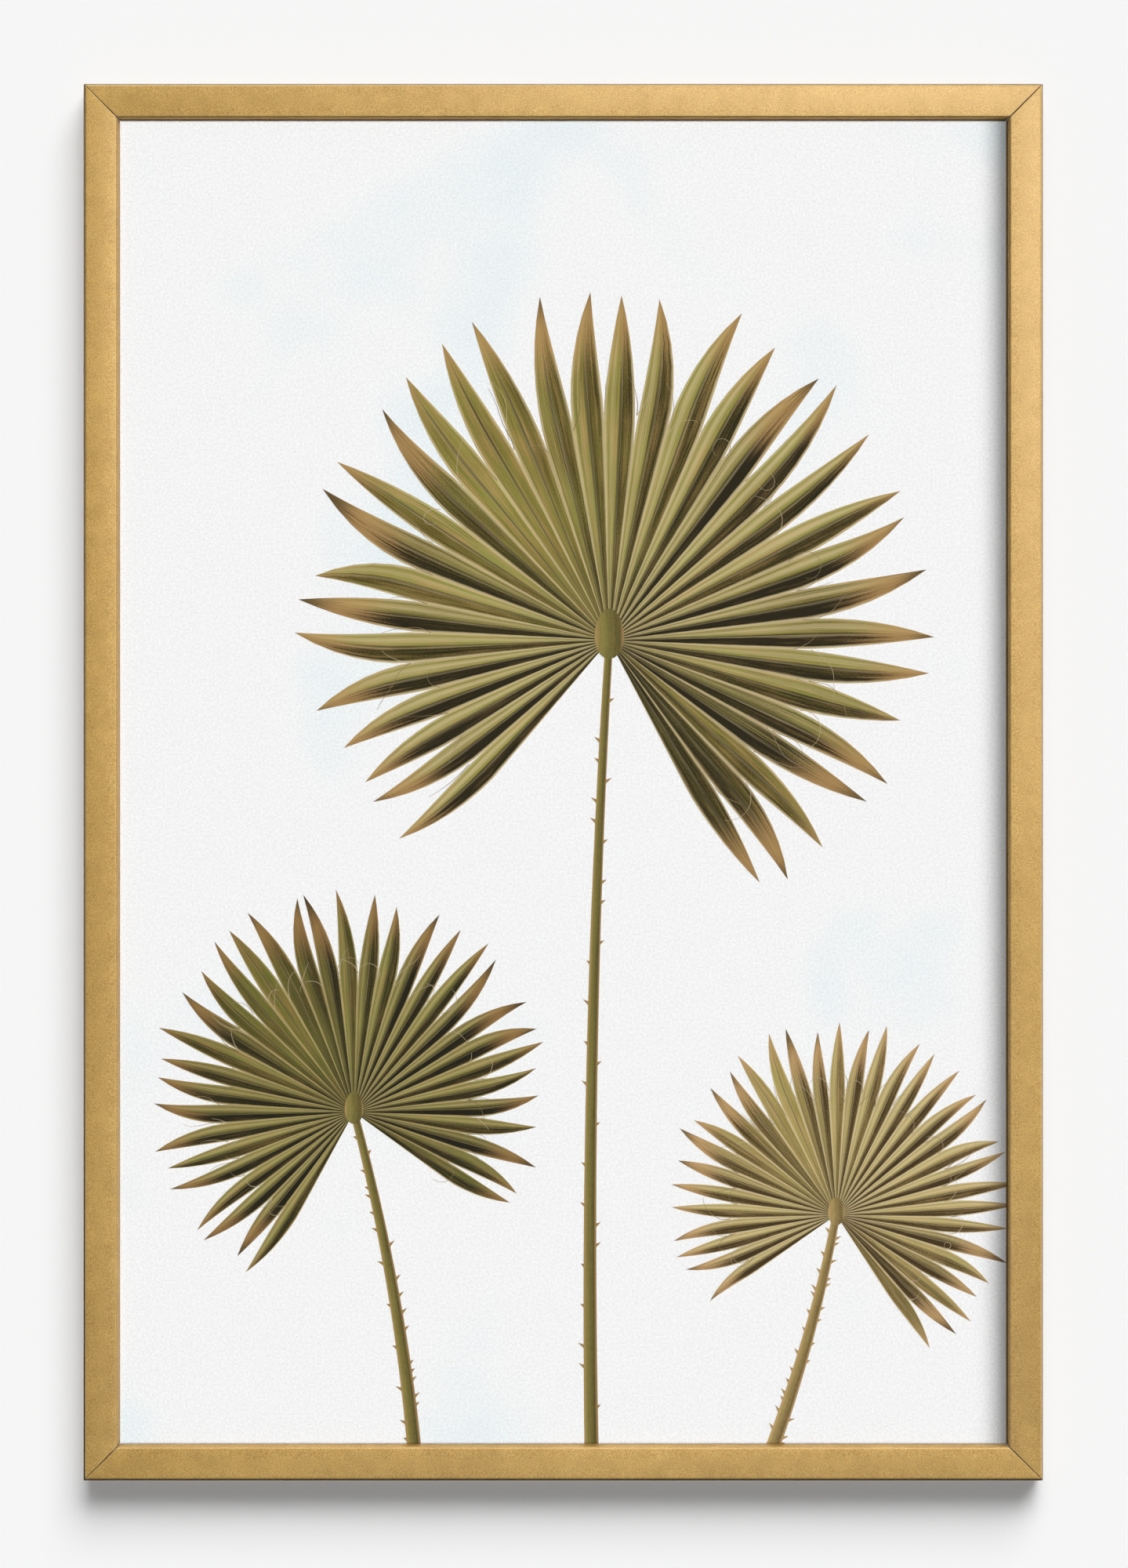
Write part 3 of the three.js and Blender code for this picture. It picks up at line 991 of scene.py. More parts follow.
@dataclass
class Moulding:
    """The four mitred rails with rounded arrises, foil on the show faces and bare wood behind."""

    foil: Material
    wood: Material
    # The outer edge: a step painted dark with shade under the rounded front arris.
    edge_round: float = 1.4 * MM
    edge_step: float = 0.5 * MM
    edge_step_depth: float = 1.6 * MM
    step_fall: float = 0.7 * MM
    step_band: float = 1.2 * MM
    step_foot_round: float = 0.2 * MM
    step_round: float = 0.1 * MM
    step_shade: float = 0.95
    # The gently crowned face that falls towards the opening.
    face_slope: float = 0.6 * MM
    crown: float = 0.18 * MM
    # The sight edge: a narrow cant, then the lip over the glazing.
    sight_bevel: float = 2.1 * MM
    sight_cant: float = 1.05 * MM
    sight_drop: float = 0.75 * MM
    sight_round: float = 0.35 * MM
    cant_round: float = 0.5 * MM
    lip_inset: float = 0.8 * MM
    lip_depth: float = 5.5 * MM
    lip_edge: float = 0.5 * MM
    lip_edge_round: float = 0.25 * MM
    lip_back_round: float = 0.12 * MM
    lip_overlap: float = 5 * MM
    # Painted shade in the lips: full on the top and right rails, which face away from the light,
    # light on the others.
    shaded_lip: float = 1.0
    lit_lip: float = 0.25
    # The back and the mitres.
    rebate_round: float = 0.25 * MM
    back_round: float = 0.5 * MM
    mitre_gap: float = 0.18 * MM
    # Painted shade at the rail ends in the mitre, and wear with a painted highlight on the arris
    # beside it.
    mitre_shade: float = 0.85
    mitre_wear_highlight: float = 0.7
    end_ease: float = 0.4 * MM
    slot_clearance: float = 0.2 * MM
    nail_slot: float = 1.0 * MM
    curve_steps: int = 8
    face_steps: int = 8

    def __post_init__(self) -> None:
        """Reads the rails' size from the frame."""
        low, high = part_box("rail_top")
        self.width = high.z - low.z
        self.front, self.back = low.y, high.y
        self.depth = self.back - self.front
        self.half_x = (CAD_HIGH.x - CAD_LOW.x) / 2
        self.half_z = (CAD_HIGH.z - CAD_LOW.z) / 2
        centre = Vector(((CAD_HIGH.x + CAD_LOW.x) / 2, 0, (CAD_HIGH.z + CAD_LOW.z) / 2))
        self.home = Matrix.Translation(centre)

    def _face_depth(self, u: float) -> float:
        """How far the gently crowned face lies behind the front plane, at u from the outer edge."""
        share = u / (self.width - self.sight_bevel)
        return max(0.0, self.face_slope * share - 4 * self.crown * share * (1 - share))

    def _section(self, lip_shade: float) -> list[SectionPoint]:
        """The closed section of a rail.

        Args:
            lip_shade: How dark its lip is painted with shade, from 0 to 1.

        Returns:
            The points from the rebate over the back and the face to the lip.
        """
        width, body, lip = self.width, self.width - self.lip_overlap, self.lip_depth
        sight = self.width - self.sight_bevel
        cant, cant_depth = sight + self.sight_cant, self.face_slope + self.sight_drop
        step, tone = self.edge_step_depth, self.step_shade
        face = [
            SectionCorner(u, self._face_depth(u))
            for u in (sight * i / self.face_steps for i in range(1, self.face_steps))
            if u > self.edge_step + self.edge_round
        ]
        corners = [
            SectionCorner(body, lip, finish=1),
            SectionCorner(body, self.depth, finish=1, radius=self.rebate_round),
            SectionCorner(0.0, self.depth, radius=self.back_round),
            SectionCorner(0.0, step + self.step_band),
            # The outer step is painted dark with shade; the front arris next to it carries wear and a
            # painted highlight.
            SectionCorner(0.0, step + self.step_fall, recess=tone, radius=self.step_foot_round),
            SectionCorner(self.edge_step, step, recess=tone, radius=self.step_round),
            SectionCorner(self.edge_step, 0.0, worn_highlight=1.0, radius=self.edge_round),
            *face,
            # The sight edge and cant carry wear and a painted highlight; from the cant on, painted
            # shade darkens the lip.
            SectionCorner(sight, self.face_slope, worn_highlight=0.4, radius=self.sight_round),
            SectionCorner(cant, cant_depth, worn_highlight=0.6, recess=0.15, radius=self.cant_round),
            SectionCorner(width - self.lip_inset, lip / 2, recess=0.75 * lip_shade),
            SectionCorner(width, lip - self.lip_edge, recess=lip_shade, radius=self.lip_edge_round),
            SectionCorner(width, lip, recess=lip_shade, finish=1, radius=self.lip_back_round),
        ]
        outline: list[SectionPoint] = []
        for i, corner in enumerate(corners):
            following = corners[(i + 1) % len(corners)]
            outline += corner.rounded(corners[i - 1], following, self.curve_steps)
        return outline

    def _ring(
        self,
        plan: MeshPlan,
        section: Sequence[SectionPoint],
        way: int,
        reach: float,
        half: float,
        station: Station,
    ) -> list[int]:
        """One loop of points round the section.

        Args:
            plan: The mesh being made.
            section: The rail's section.
            way: Towards which end of the rail the station lies, -1 or 1.
            reach: Half the rail's length along its outer edge.
            half: Distance of its outer edge from the frame's middle.
            station: The place along the rail and what the loop is like there.

        Returns:
            The points, with the first repeated at the end.
        """
        # The rail's ends are drawn in towards this point of the section.
        core = Vector((self.width * 0.4, self.depth * 0.5))
        end = reach - self.mitre_gap / math.sqrt(2) - station.back
        girth, last, ring = 0.0, section[0].flat, []
        for spot in section:
            girth += (spot.flat - last).length
            last = spot.flat
            drawn = spot.flat + (core - spot.flat).normalized() * station.ease
            run = way * (end - spot.u)
            marks = {
                "run": run,
                "girth": girth,
                "arris": max(spot.worn_highlight, station.worn_highlight),
                "recess": max(spot.recess, station.recess),
            }
            ring.append(plan.point((run, self.front + drawn.y, half - drawn.x), **marks))
        return ring + ring[:1]

    def _halves(self, side: Side) -> tuple[float, float]:
        """Half the length of a side's rail, and its outer edge's distance from the middle."""
        return (self.half_z, self.half_x) if side.upright else (self.half_x, self.half_z)

    def _rail(self, side: Side) -> Object:
        """One rail along X as the top one lies, about the frame's middle.

        Args:
            side: The side that it is for.

        Returns:
            The rail, not yet turned to its side.
        """
        reach, half = self._halves(side)
        plan = MeshPlan("run", "girth", "arris", "recess")
        ease = self.end_ease
        # At the mitre the rail ends are painted dark with shade, and their arris is lightened with
        # wear and a painted highlight.
        stations = [
            Station(0.0, ease, recess=self.mitre_shade),
            Station(0.3 * ease, 0.3 * ease, worn_highlight=self.mitre_wear_highlight, recess=0.25),
            Station(ease, 0.0, worn_highlight=self.mitre_wear_highlight),
            Station(2 * ease, 0.0),
        ]
        # The top and right lips face away from the light and are painted darker with shade.
        section = self._section(self.shaded_lip if side.lip_in_shade else self.lit_lip)
        rings = [
            self._ring(plan, section, way, reach, half, station)
            for way in (-1, 1)
            for station in stations[::-way]
        ]
        for first, second in zip(rings, rings[1:]):
            for i, spot in enumerate(section):
                plan.face((first[i], second[i], second[i + 1], first[i + 1]), spot.finish)
        plan.face(rings[0][:-1], 1)
        plan.face(rings[-1][-2::-1], 1)
        return plan.build(f"moulding_{side.label}", [self.foil, self.wood])

    def _slots(self, side: Side, piece: Object) -> None:
        """Cuts the slots for the side's tabs and corner nails.

        Args:
            side: The side.
            piece: Its rail, not yet turned.
        """
        back_home = (self.home @ side.turn).inverted()
        plan = MeshPlan()
        names = [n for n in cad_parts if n.startswith((f"tab_{side.label}", "corner_nail"))]
        for name in names:
            corners = [back_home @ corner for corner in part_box(name)]
            low = [min(c[axis] for c in corners) - self.slot_clearance for axis in range(3)]
            high = [max(c[axis] for c in corners) + self.slot_clearance for axis in range(3)]
            if name.startswith("tab"):
                plan.box(low, high, 1)
            else:
                self._nail_slot(plan, side, low, high)
        cut(piece, plan, self.wood)

    def _nail_slot(self, plan: MeshPlan, side: Side, low: list[float], high: list[float]) -> None:
        """Adds the slot of one folded nail's leg that lies in this rail, if it has one.

        Args:
            plan: The shapes to cut out of the rail.
            side: The rail's side.
            low: The nail's lowest corner with clearance, before the rail is turned.
            high: Its highest corner.
        """
        _, half = self._halves(side)
        if high[2] < half - self.width or abs(low[0] + high[0]) / 2 < self.width:
            return
        slot = self.nail_slot
        plan.box((low[0], low[1], high[2] - slot), (high[0], self.back + slot, high[2]), 1)

    def build(self) -> None:
        """Builds the four rails and puts each in its place."""
        for side in Side:
            piece = self._rail(side)
            self._slots(side, piece)
            piece.data.transform(self.home @ side.turn)
            shade(piece)
            add_piece(piece, f"rail_{side.label}")


# --- The printed design ------------------------------------------------------------------------


class Lift(Enum):
    """How far the films of ink lie off the sheet, in millimetres, so that each covers the last."""

    STALK = 0.04
    THORN = 0.06
    BLADE = 0.09
    THREAD = 0.13
    HEART = 0.15


@dataclass
class PrintedPalm:
    """One fan palm leaf of the print: pleated segments on a thorny stalk, with loose threads.

    Its places and sizes are in millimetres about the middle of the print.
    """

    number: int
    hub: tuple[float, float]
    reach: float
    tilt: float
    spread: float
    foot_x: float
    bend: float
    leaf: LeafInk
    stalk: StalkInk
    slot: str
    seed: int
    light: tuple[float, float] = (-0.55, 0.83)
    ink_thick: float = 0.03
    # The fan and its segments.
    segments: int = 34
    edge_shortening: float = 0.24
    tip_droop: float = 0.1
    root_share: float = 0.015
    notch_share: float = 0.6
    notch_sway: float = 0.05
    tip_shares: tuple[float, float] = (0.93, 1.0)
    tip_lean: float = 0.8
    taper: float = 1.25
    blade_steps: int = 16
    # The stalk, its thorns and the heart.
    stalk_half: tuple[float, float] = (2.2, 4.0)
    stalk_steps: int = 40
    foot_margin: float = 1.5
    first_thorn: int = 3
    thorn_sizes: tuple[float, float] = (2.0, 3.6)
    thorn_half: float = 1.2
    thorn_hook: float = 0.7
    heart_share: float = 0.075
    heart_points: int = 18
    # The threads.
    thread_sway: float = 0.04
    thread_half: float = 0.2
    thread_steps: tuple[int, int] = (9, 18)
    thread_pace: tuple[float, float] = (0.007, 0.013)
    thread_turn: float = 0.5
    thread_curl: float = 0.16
    curl_change: float = 0.08

    def __post_init__(self) -> None:
        """Finds the sheet that the leaf is printed on."""
        low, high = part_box("print_sheet")
        self.sheet_front = low.y
        self.middle = Vector(((low.x + high.x) / 2, (low.z + high.z) / 2))
        self.foot_z = (low.z - high.z) / 2 / MM + self.foot_margin
        self.random = random.Random(self.seed)

    def _sway(self, most: float) -> float:
        """A chance number between -most and most."""
        return self.random.uniform(-most, most)

    def _place(self, spot: Vector, lift: Lift) -> tuple[float, float, float]:
        """A place of the print in the row frame.

        Args:
            spot: Where it is, in millimetres from the print's middle.
            lift: The film of ink that it belongs to.

        Returns:
            The place in metres.
        """
        x, z = self.middle.x + spot.x * MM, self.middle.y + spot.y * MM
        return (x, self.sheet_front - lift.value * MM, z)

    def _ray(self, side: float) -> Vector:
        """The way from the hub to the leaf's full reach.

        Args:
            side: Where it lies across the fan, from -1 to 1.

        Returns:
            The way, as long as the leaf is there.
        """
        angle = math.radians(self.tilt + side * self.spread / 2)
        radius = 1 - self.edge_shortening * side * side
        drop = self.tip_droop * side * side
        return Vector((radius * math.sin(angle), radius * math.cos(angle) - drop)) * self.reach

    def _spot(self, side: float, share: float) -> Vector:
        """A spot of the leaf, at a share of the way from the hub."""
        return Vector(self.hub) + self._ray(side) * share

    def _blades(self) -> Object:
        """The pleated segments.

        Returns:
            The fan, as one piece.
        """
        plan = MeshPlan("across", "along", "lit", "tone", "chance")
        splits = [self.notch_share + self._sway(self.notch_sway) for _ in range(self.segments + 1)]
        for i in range(self.segments):
            self._blade(plan, (2 * i + 1) / self.segments - 1, splits[i : i + 2])
        return plan.build(f"palm_leaf_{self.number}", [self.leaf.material()])

    def _blade(self, plan: MeshPlan, middle: float, splits: Sequence[float]) -> None:
        """One segment, which tapers from its notches to its own tip.

        Args:
            plan: The mesh being made.
            middle: Where its crease lies across the fan, from -1 to 1.
            splits: How far from the hub its two notches lie, as shares of the reach.
        """
        half = 1 / self.segments
        root = self.root_share
        tip = self.random.uniform(*self.tip_shares)
        lean = self._sway(self.tip_lean) * half
        way = self._ray(middle).normalized()
        light = Vector(self.light)
        marks = {
            "lit": Vector((way.y, -way.x)).dot(light),
            "tone": way.dot(light),
            "chance": self.random.random(),
        }
        rows = []
        for step in range(self.blade_steps):
            share = root + (tip - root) * step / self.blade_steps
            row = []
            for across in (-1.0, -0.5, 0.0, 0.5, 1.0):
                # Past its notches a segment narrows and leans towards its tip.
                split = splits[0] if across < 0 else splits[1]
                past = max(0.0, (share - split) / (tip - split))
                wide = half * (1 - past ** self.taper)
                spot = self._spot(middle + across * wide + lean * past ** 2, share)
                place = self._place(spot, Lift.BLADE)
                row.append(plan.point(place, across=across, along=share, **marks))
            rows.append(row)
        plan.strips(rows)
        end = self._place(self._spot(middle + lean, tip), Lift.BLADE)
        point = plan.point(end, across=0.0, along=tip, **marks)
        for a, b in zip(rows[-1], rows[-1][1:]):
            plan.face((a, b, point))

    def _stalk(self) -> Object:
        """The bending stalk with its thorns and the small heart where the segments meet.

        Returns:
            The stalk, as one piece.
        """
        plan = MeshPlan("across", "along", "chance")
        hub, foot = Vector(self.hub), Vector((self.foot_x, self.foot_z))
        elbow = (hub + foot) / 2 + Vector((self.bend, 0))
        rows, thorn_at = [], self.first_thorn
        for step in range(self.stalk_steps + 1):
            t = step / self.stalk_steps
            spot = hub * (1 - t) ** 2 + elbow * 2 * t * (1 - t) + foot * t * t
            way = ((elbow - hub) * (1 - t) + (foot - elbow) * t).normalized()
            wide = self.stalk_half[0] * (1 - t) + self.stalk_half[1] * t
            out = Vector((-way.y, way.x)) * wide
            rows.append([
                plan.point(self._place(spot + out * a, Lift.STALK), across=a, along=t, chance=0.3)
                for a in (-1.0, -0.6, 0.0, 0.6, 1.0)
            ])
            if step == thorn_at and step < self.stalk_steps:
                thorn_at += self.random.randint(1, 2)
                self._thorn(plan, spot, way, out * self.random.choice((-1, 1)))
        plan.strips(rows)
        self._heart(plan, hub)
        return plan.build(f"palm_stalk_{self.number}", [self.stalk.material()])

    def _thorn(self, plan: MeshPlan, spot: Vector, way: Vector, out: Vector) -> None:
        """One short hooked thorn on the stalk's edge.

        Args:
            plan: The mesh being made.
            spot: The middle of the stalk there.
            way: The stalk's direction.
            out: From the middle to the edge that carries the thorn.
        """
        size = self.random.uniform(*self.thorn_sizes)
        base = spot + out * 0.9
        marks = {"across": 0.95, "along": 0.5, "chance": self.random.random()}
        tip = base + out.normalized() * size - way * size * self.thorn_hook
        spots = (base - way * self.thorn_half, base + way * self.thorn_half, tip)
        plan.face([plan.point(self._place(s, Lift.THORN), **marks) for s in spots])

    def _heart(self, plan: MeshPlan, hub: Vector) -> None:
        """The pale tongue where the stalk enters the leaf: round below and pointed above.

        Args:
            plan: The mesh being made.
            hub: Where the segments meet.
        """
        size = self.reach * self.heart_share
        marks = {"along": 0.1, "chance": 0.8}
        ring = []
        for i in range(self.heart_points):
            turn = 2 * math.pi * i / self.heart_points
            side, rise = math.sin(turn), math.cos(turn)
            point = abs(math.cos(turn / 2)) ** 3
            spot = hub + Vector((0.55 * size * side, size * (rise * 0.7 + 0.5 * point)))
            ring.append(plan.point(self._place(spot, Lift.HEART), across=0.9 * side, **marks))
        middle = plan.point(self._place(hub, Lift.HEART), across=-0.2, **marks)
        plan.fan(middle, ring + ring[:1])

    def _threads(self, finish: Material) -> Object:
        """Fine loose threads that curl out of the notches.

        Args:
            finish: Their material.

        Returns:
            The threads, as one piece.
        """
        plan = MeshPlan("chance")
        for i in range(1, self.segments):
            side = 2 * i / self.segments - 1
            for _ in range(self.random.choice((1, 1, 2))):
                self._thread(plan, side)
        return plan.build(f"palm_threads_{self.number}", [finish])

    def _thread(self, plan: MeshPlan, side: float) -> None:
        """One thread from a notch.

        Args:
            plan: The mesh being made.
            side: Where the notch lies across the fan, from -1 to 1.
        """
        spot = self._spot(side, self.notch_share + self._sway(self.thread_sway))
        ray = self._ray(side)
        heading = math.atan2(ray.x, ray.y) + self._sway(self.thread_turn)
        curl = self._sway(self.thread_curl)
        steps = self.random.randint(*self.thread_steps)
        pace = self.reach * self.random.uniform(*self.thread_pace)
        chance = self.random.random()
        rows = []
        for step in range(steps):
            way = Vector((math.sin(heading), math.cos(heading)))
            wide = self.thread_half * (1 - 0.7 * step / steps)
            out = Vector((way.y, -way.x)) * wide
            edges = (spot - out, spot + out)
            rows.append([plan.point(self._place(e, Lift.THREAD), chance=chance) for e in edges])
            spot = spot + way * pace
            curl += self._sway(self.curl_change)
            heading += curl
        plan.strips(rows)

    def build(self, thread_finish: Material) -> None:
        """Builds the leaf, its stalk and its threads, each as a thin film of ink.

        Args:
            thread_finish: The threads' material.
        """
        for piece in (self._stalk(), self._blades(), self._threads(thread_finish)):
            modify(piece, "SOLIDIFY", thickness=self.ink_thick * MM, offset=-1.0)
            settle(piece)
            add_piece(piece, f"printed_palm_{self.number}")


def palms() -> list[PrintedPalm]:
    """The printed design.

    Returns:
        Its three leaves, the largest first.
    """
    olive = LeafInk(
        "olive_leaf_ink",
        deep=paint(36, 30, 8),
        body=paint(134, 118, 50),
        fresh=paint(146, 146, 68),
        dry=paint(184, 146, 92),
        ridge=paint(216, 196, 148),
    )
    moss = LeafInk(
        "moss_leaf_ink",
        deep=paint(28, 25, 7),
        body=paint(104, 94, 38),
        fresh=paint(118, 122, 52),
        dry=paint(156, 120, 72),
        ridge=paint(194, 174, 120),
    )
    tan = LeafInk(
        "tan_leaf_ink",
        deep=paint(64, 48, 20),
        body=paint(166, 142, 80),
        fresh=paint(170, 160, 90),
        dry=paint(198, 160, 110),
        ridge=paint(228, 208, 164),
    )
    green_stalk = StalkInk(
        "green_stalk_ink",
        deep=paint(48, 40, 14),
        body=paint(150, 138, 72),
        edge=paint(176, 142, 92),
    )
    tan_stalk = StalkInk(
        "tan_stalk_ink",
        deep=paint(70, 52, 24),
        body=paint(184, 160, 100),
        edge=paint(196, 162, 112),
    )
    return [
        PrintedPalm(
            number=1,
            hub=(26, 80),
            reach=200,
            tilt=7,
            spread=284,
            foot_x=16,
            bend=-9,
            leaf=olive,
            stalk=green_stalk,
            slot="ink_olive",
            seed=11,
        ),
        PrintedPalm(
            number=2,
            hub=(-118, -186),
            reach=128,
            tilt=-14,
            spread=268,
            foot_x=-84,
            bend=8,
            leaf=moss,
            stalk=green_stalk,
            slot="ink_moss",
            seed=23,
        ),
        PrintedPalm(
            number=3,
            hub=(154, -244),
            reach=112,
            tilt=12,
            spread=262,
            foot_x=118,
            bend=6,
            leaf=tan,
            stalk=tan_stalk,
            slot="ink_tan",
            seed=37,
        ),
    ]


# --- The rest of the frame ---------------------------------------------------------------------


@dataclass
class PictureStack:
    """The flat layers behind the lip: glazing, print sheet, card and board."""

    board_bevel: float = 0.15 * MM

    def build(self) -> None:
        """Dresses each layer."""
        dress_node("glazing", ClearAcrylic().material())
        dress_node("print_sheet", ArtPaper().material())
        dress_node("backing_card", FIBROUS_CARD.material())
        dress_node("backing_board", Hardboard().material(), self.board_bevel)


@dataclass
class Fixings:
    """The steel pieces: tabs, corner nails, hanger and its two cross-head screws."""

    steel: Material
    tab_bevel: float = 0.12 * MM
    nail_bevel: float = 0.08 * MM
    head_radius: float = 2.8 * MM
    head_height: float = 1.1 * MM
    head_rim: float = 0.35
    shank_radius: float = 1.3 * MM
    recess_arm: float = 1.5 * MM
    recess_wide: float = 0.4 * MM
    recess_deep: float = 0.7 * MM
    recess_clear: float = 1 * MM
    recess_foot: float = 0.7
    recess_mouth: float = 1.2
    screw_turns: tuple[float, float] = (65, 105)
    segments: int = 56

    def _cross(self) -> MeshPlan:
        """The crossed recess of a screw's head.

        Returns:
            The closed shape to cut out, which widens from its foot to past the head's top.
        """
        plan = MeshPlan()
        arm, wide = self.recess_arm, self.recess_wide
        outline = [
            Matrix.Rotation(turn * math.pi / 2, 2) @ Vector(corner)
            for turn in range(4)
            for corner in ((arm, -wide), (arm, wide), (wide, wide))
        ]
        foot = (self.head_height - self.recess_deep, self.recess_foot)
        mouth = (self.head_height + self.recess_clear, self.recess_mouth)
        rings = []
        for y, share in (foot, mouth):
            ring = [plan.point((p.x * share, y, p.y * share)) for p in outline]
            rings.append(ring + ring[:1])
        plan.strip(rings[1], rings[0])
        plan.face(rings[0][:-1])
        plan.face(rings[1][-2::-1])
        return plan

    def _screw(self, number: int) -> None:
        """One pan-head screw with a crossed recess, in the place of its node.

        Args:
            number: The screw's number in the nodes' names.
        """
        low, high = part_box(f"hanger_screw_{number}")
        rise = 1 - self.head_rim
        crown = [
            (self.head_radius * math.cos(t), self.head_height * (self.head_rim + rise * math.sin(t)))
            for t in (math.radians(a) for a in range(0, 90, 10))
        ]
        seat = high.y - self.head_height
        length = seat - low.y
        profile = [
            (0.0, -length),
            (self.shank_radius, 2 * self.shank_radius - length),
            (self.shank_radius, 0.0),
            (self.head_radius, 0.0),
            *crown,
            (0.0, self.head_height),
        ]
        piece = turned_plan(profile, self.segments).build(f"screw_{number}", [self.steel])
        cut(piece, self._cross(), self.steel)
        turn = Matrix.Rotation(math.radians(self.screw_turns[number - 1]), 4, "Y")
        place = Matrix.Translation(((low.x + high.x) / 2, seat, (low.z + high.z) / 2))
        piece.data.transform(place @ turn)
        shade(piece)
        add_piece(piece, f"hanger_screw_{number}")

    def build(self) -> None:
        """Dresses the flat steel and builds the screws."""
        for name in sorted(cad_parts):
            if name.startswith("tab_"):
                dress_node(name, self.steel, self.tab_bevel)
            elif name.startswith("corner_nail"):
                dress_node(name, self.steel, self.nail_bevel)
        dress_node("sawtooth_hanger", self.steel, self.nail_bevel)
        self._screw(1)
        self._screw(2)


@dataclass
class Bumpers:
    """The four soft discs between the rails and the wall."""

    rubber: Material
    rim_round: float = 0.7 * MM
    foot_round: float = 0.25 * MM
    segments: int = 56

    def _profile(self, radius: float, thick: float) -> list[tuple[float, float]]:
        """The disc's half section with a rounded rim.

        Args:
            radius: The disc's radius.
            thick: Its thickness.

        Returns:
            Radius and y of each corner, with the wall face at y = 0.
        """
        rim = [
            (radius - self.rim_round * (1 - math.sin(t)), -self.rim_round * (1 - math.cos(t)))
            for t in (math.radians(a) for a in range(90, -1, -10))
        ]
        foot = [(radius - self.foot_round, -thick), (radius, self.foot_round - thick)]
        return [(0.0, -thick), *foot, *rim, (0.0, 0.0)]

    def build(self) -> None:
        """Builds the discs in the places of their nodes."""
        for number in range(1, 5):
            low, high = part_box(f"bumper_{number}")
            plan = turned_plan(self._profile((high.x - low.x) / 2, high.y - low.y), self.segments)
            piece = plan.build(f"wall_bumper_{number}", [self.rubber])
            middle = ((low.x + high.x) / 2, high.y, (low.z + high.z) / 2)
            piece.data.transform(Matrix.Translation(middle))
            shade(piece)
            add_piece(piece, f"bumper_{number}")


# --- The studio --------------------------------------------------------------------------------


def add_lamp(
    name: str, kind: str, energy: float, place: Vector, aim: Vector, **settings: object
) -> Object:
    """Adds a lamp that looks from its place to its aim.

    Args:
        name: Its name.
        kind: The light's type.
        energy: Its strength.
        place: Where it stands.
        aim: Where it looks.
        settings: Other properties of the light.

    Returns:
        The lamp.
    """
    light = bpy.data.lights.new(name, kind)
    light.energy = energy
    for key, value in settings.items():
        setattr(light, key, value)
    lamp = bpy.data.objects.new(name, light)
    lamp.location = place
    lamp.rotation_euler = (aim - place).to_track_quat("-Z", "Y").to_euler()
    bpy.context.scene.collection.objects.link(lamp)
    return lamp


def light_only(lamp: Object, receivers: Iterable[Object]) -> None:
    """Limits a lamp to some objects.

    Args:
        lamp: The lamp.
        receivers: The only objects that it lights.
    """
    group = bpy.data.collections.new(f"{lamp.name}_receivers")
    for receiver in receivers:
        group.objects.link(receiver)
    lamp.light_linking.receiver_collection = group


class Sight(Enum):
    """Which rays find a stage object, as the sights that are switched off for it."""

    CAMERA_ONLY = ("visible_diffuse", "visible_glossy", "visible_transmission", "visible_shadow")
    GLOSS_ONLY = ("visible_camera", "visible_diffuse", "visible_transmission", "visible_shadow")

    def limit(self, stage: Object) -> None:
        """Hides a stage object from all other rays."""
        for flag in self.value:
            setattr(stage, flag, False)


@dataclass(frozen=True)
class Sun:
    """A distant soft light, given by what it adds to a white wall square to the view."""

    name: str
    share: float
    right: float
    up: float
    spread: float

    def build(self, middle: Vector) -> Object:
        """Builds the lamp.

        Args:
            middle: The point that it is aimed at.

        Returns:
            The lamp.
        """
        way = Vector((self.right, -1, self.up))
        energy = self.share * math.pi * way.length
        angle = math.radians(self.spread)
        return add_lamp(self.name, "SUN", energy, middle + way, middle, angle=angle)


@dataclass(frozen=True)
class SoftBox:
    """A square soft box that stands at an offset from the middle of the frame."""

    name: str
    energy: float
    size: float
    offset: tuple[float, float, float]

    def build(self, middle: Vector) -> Object:
        """Builds the lamp.

        Args:
            middle: The point that it is aimed at.

        Returns:
            The lamp.
        """
        place = middle + Vector(self.offset)
        return add_lamp(self.name, "AREA", self.energy, place, middle, shape="SQUARE", size=self.size)


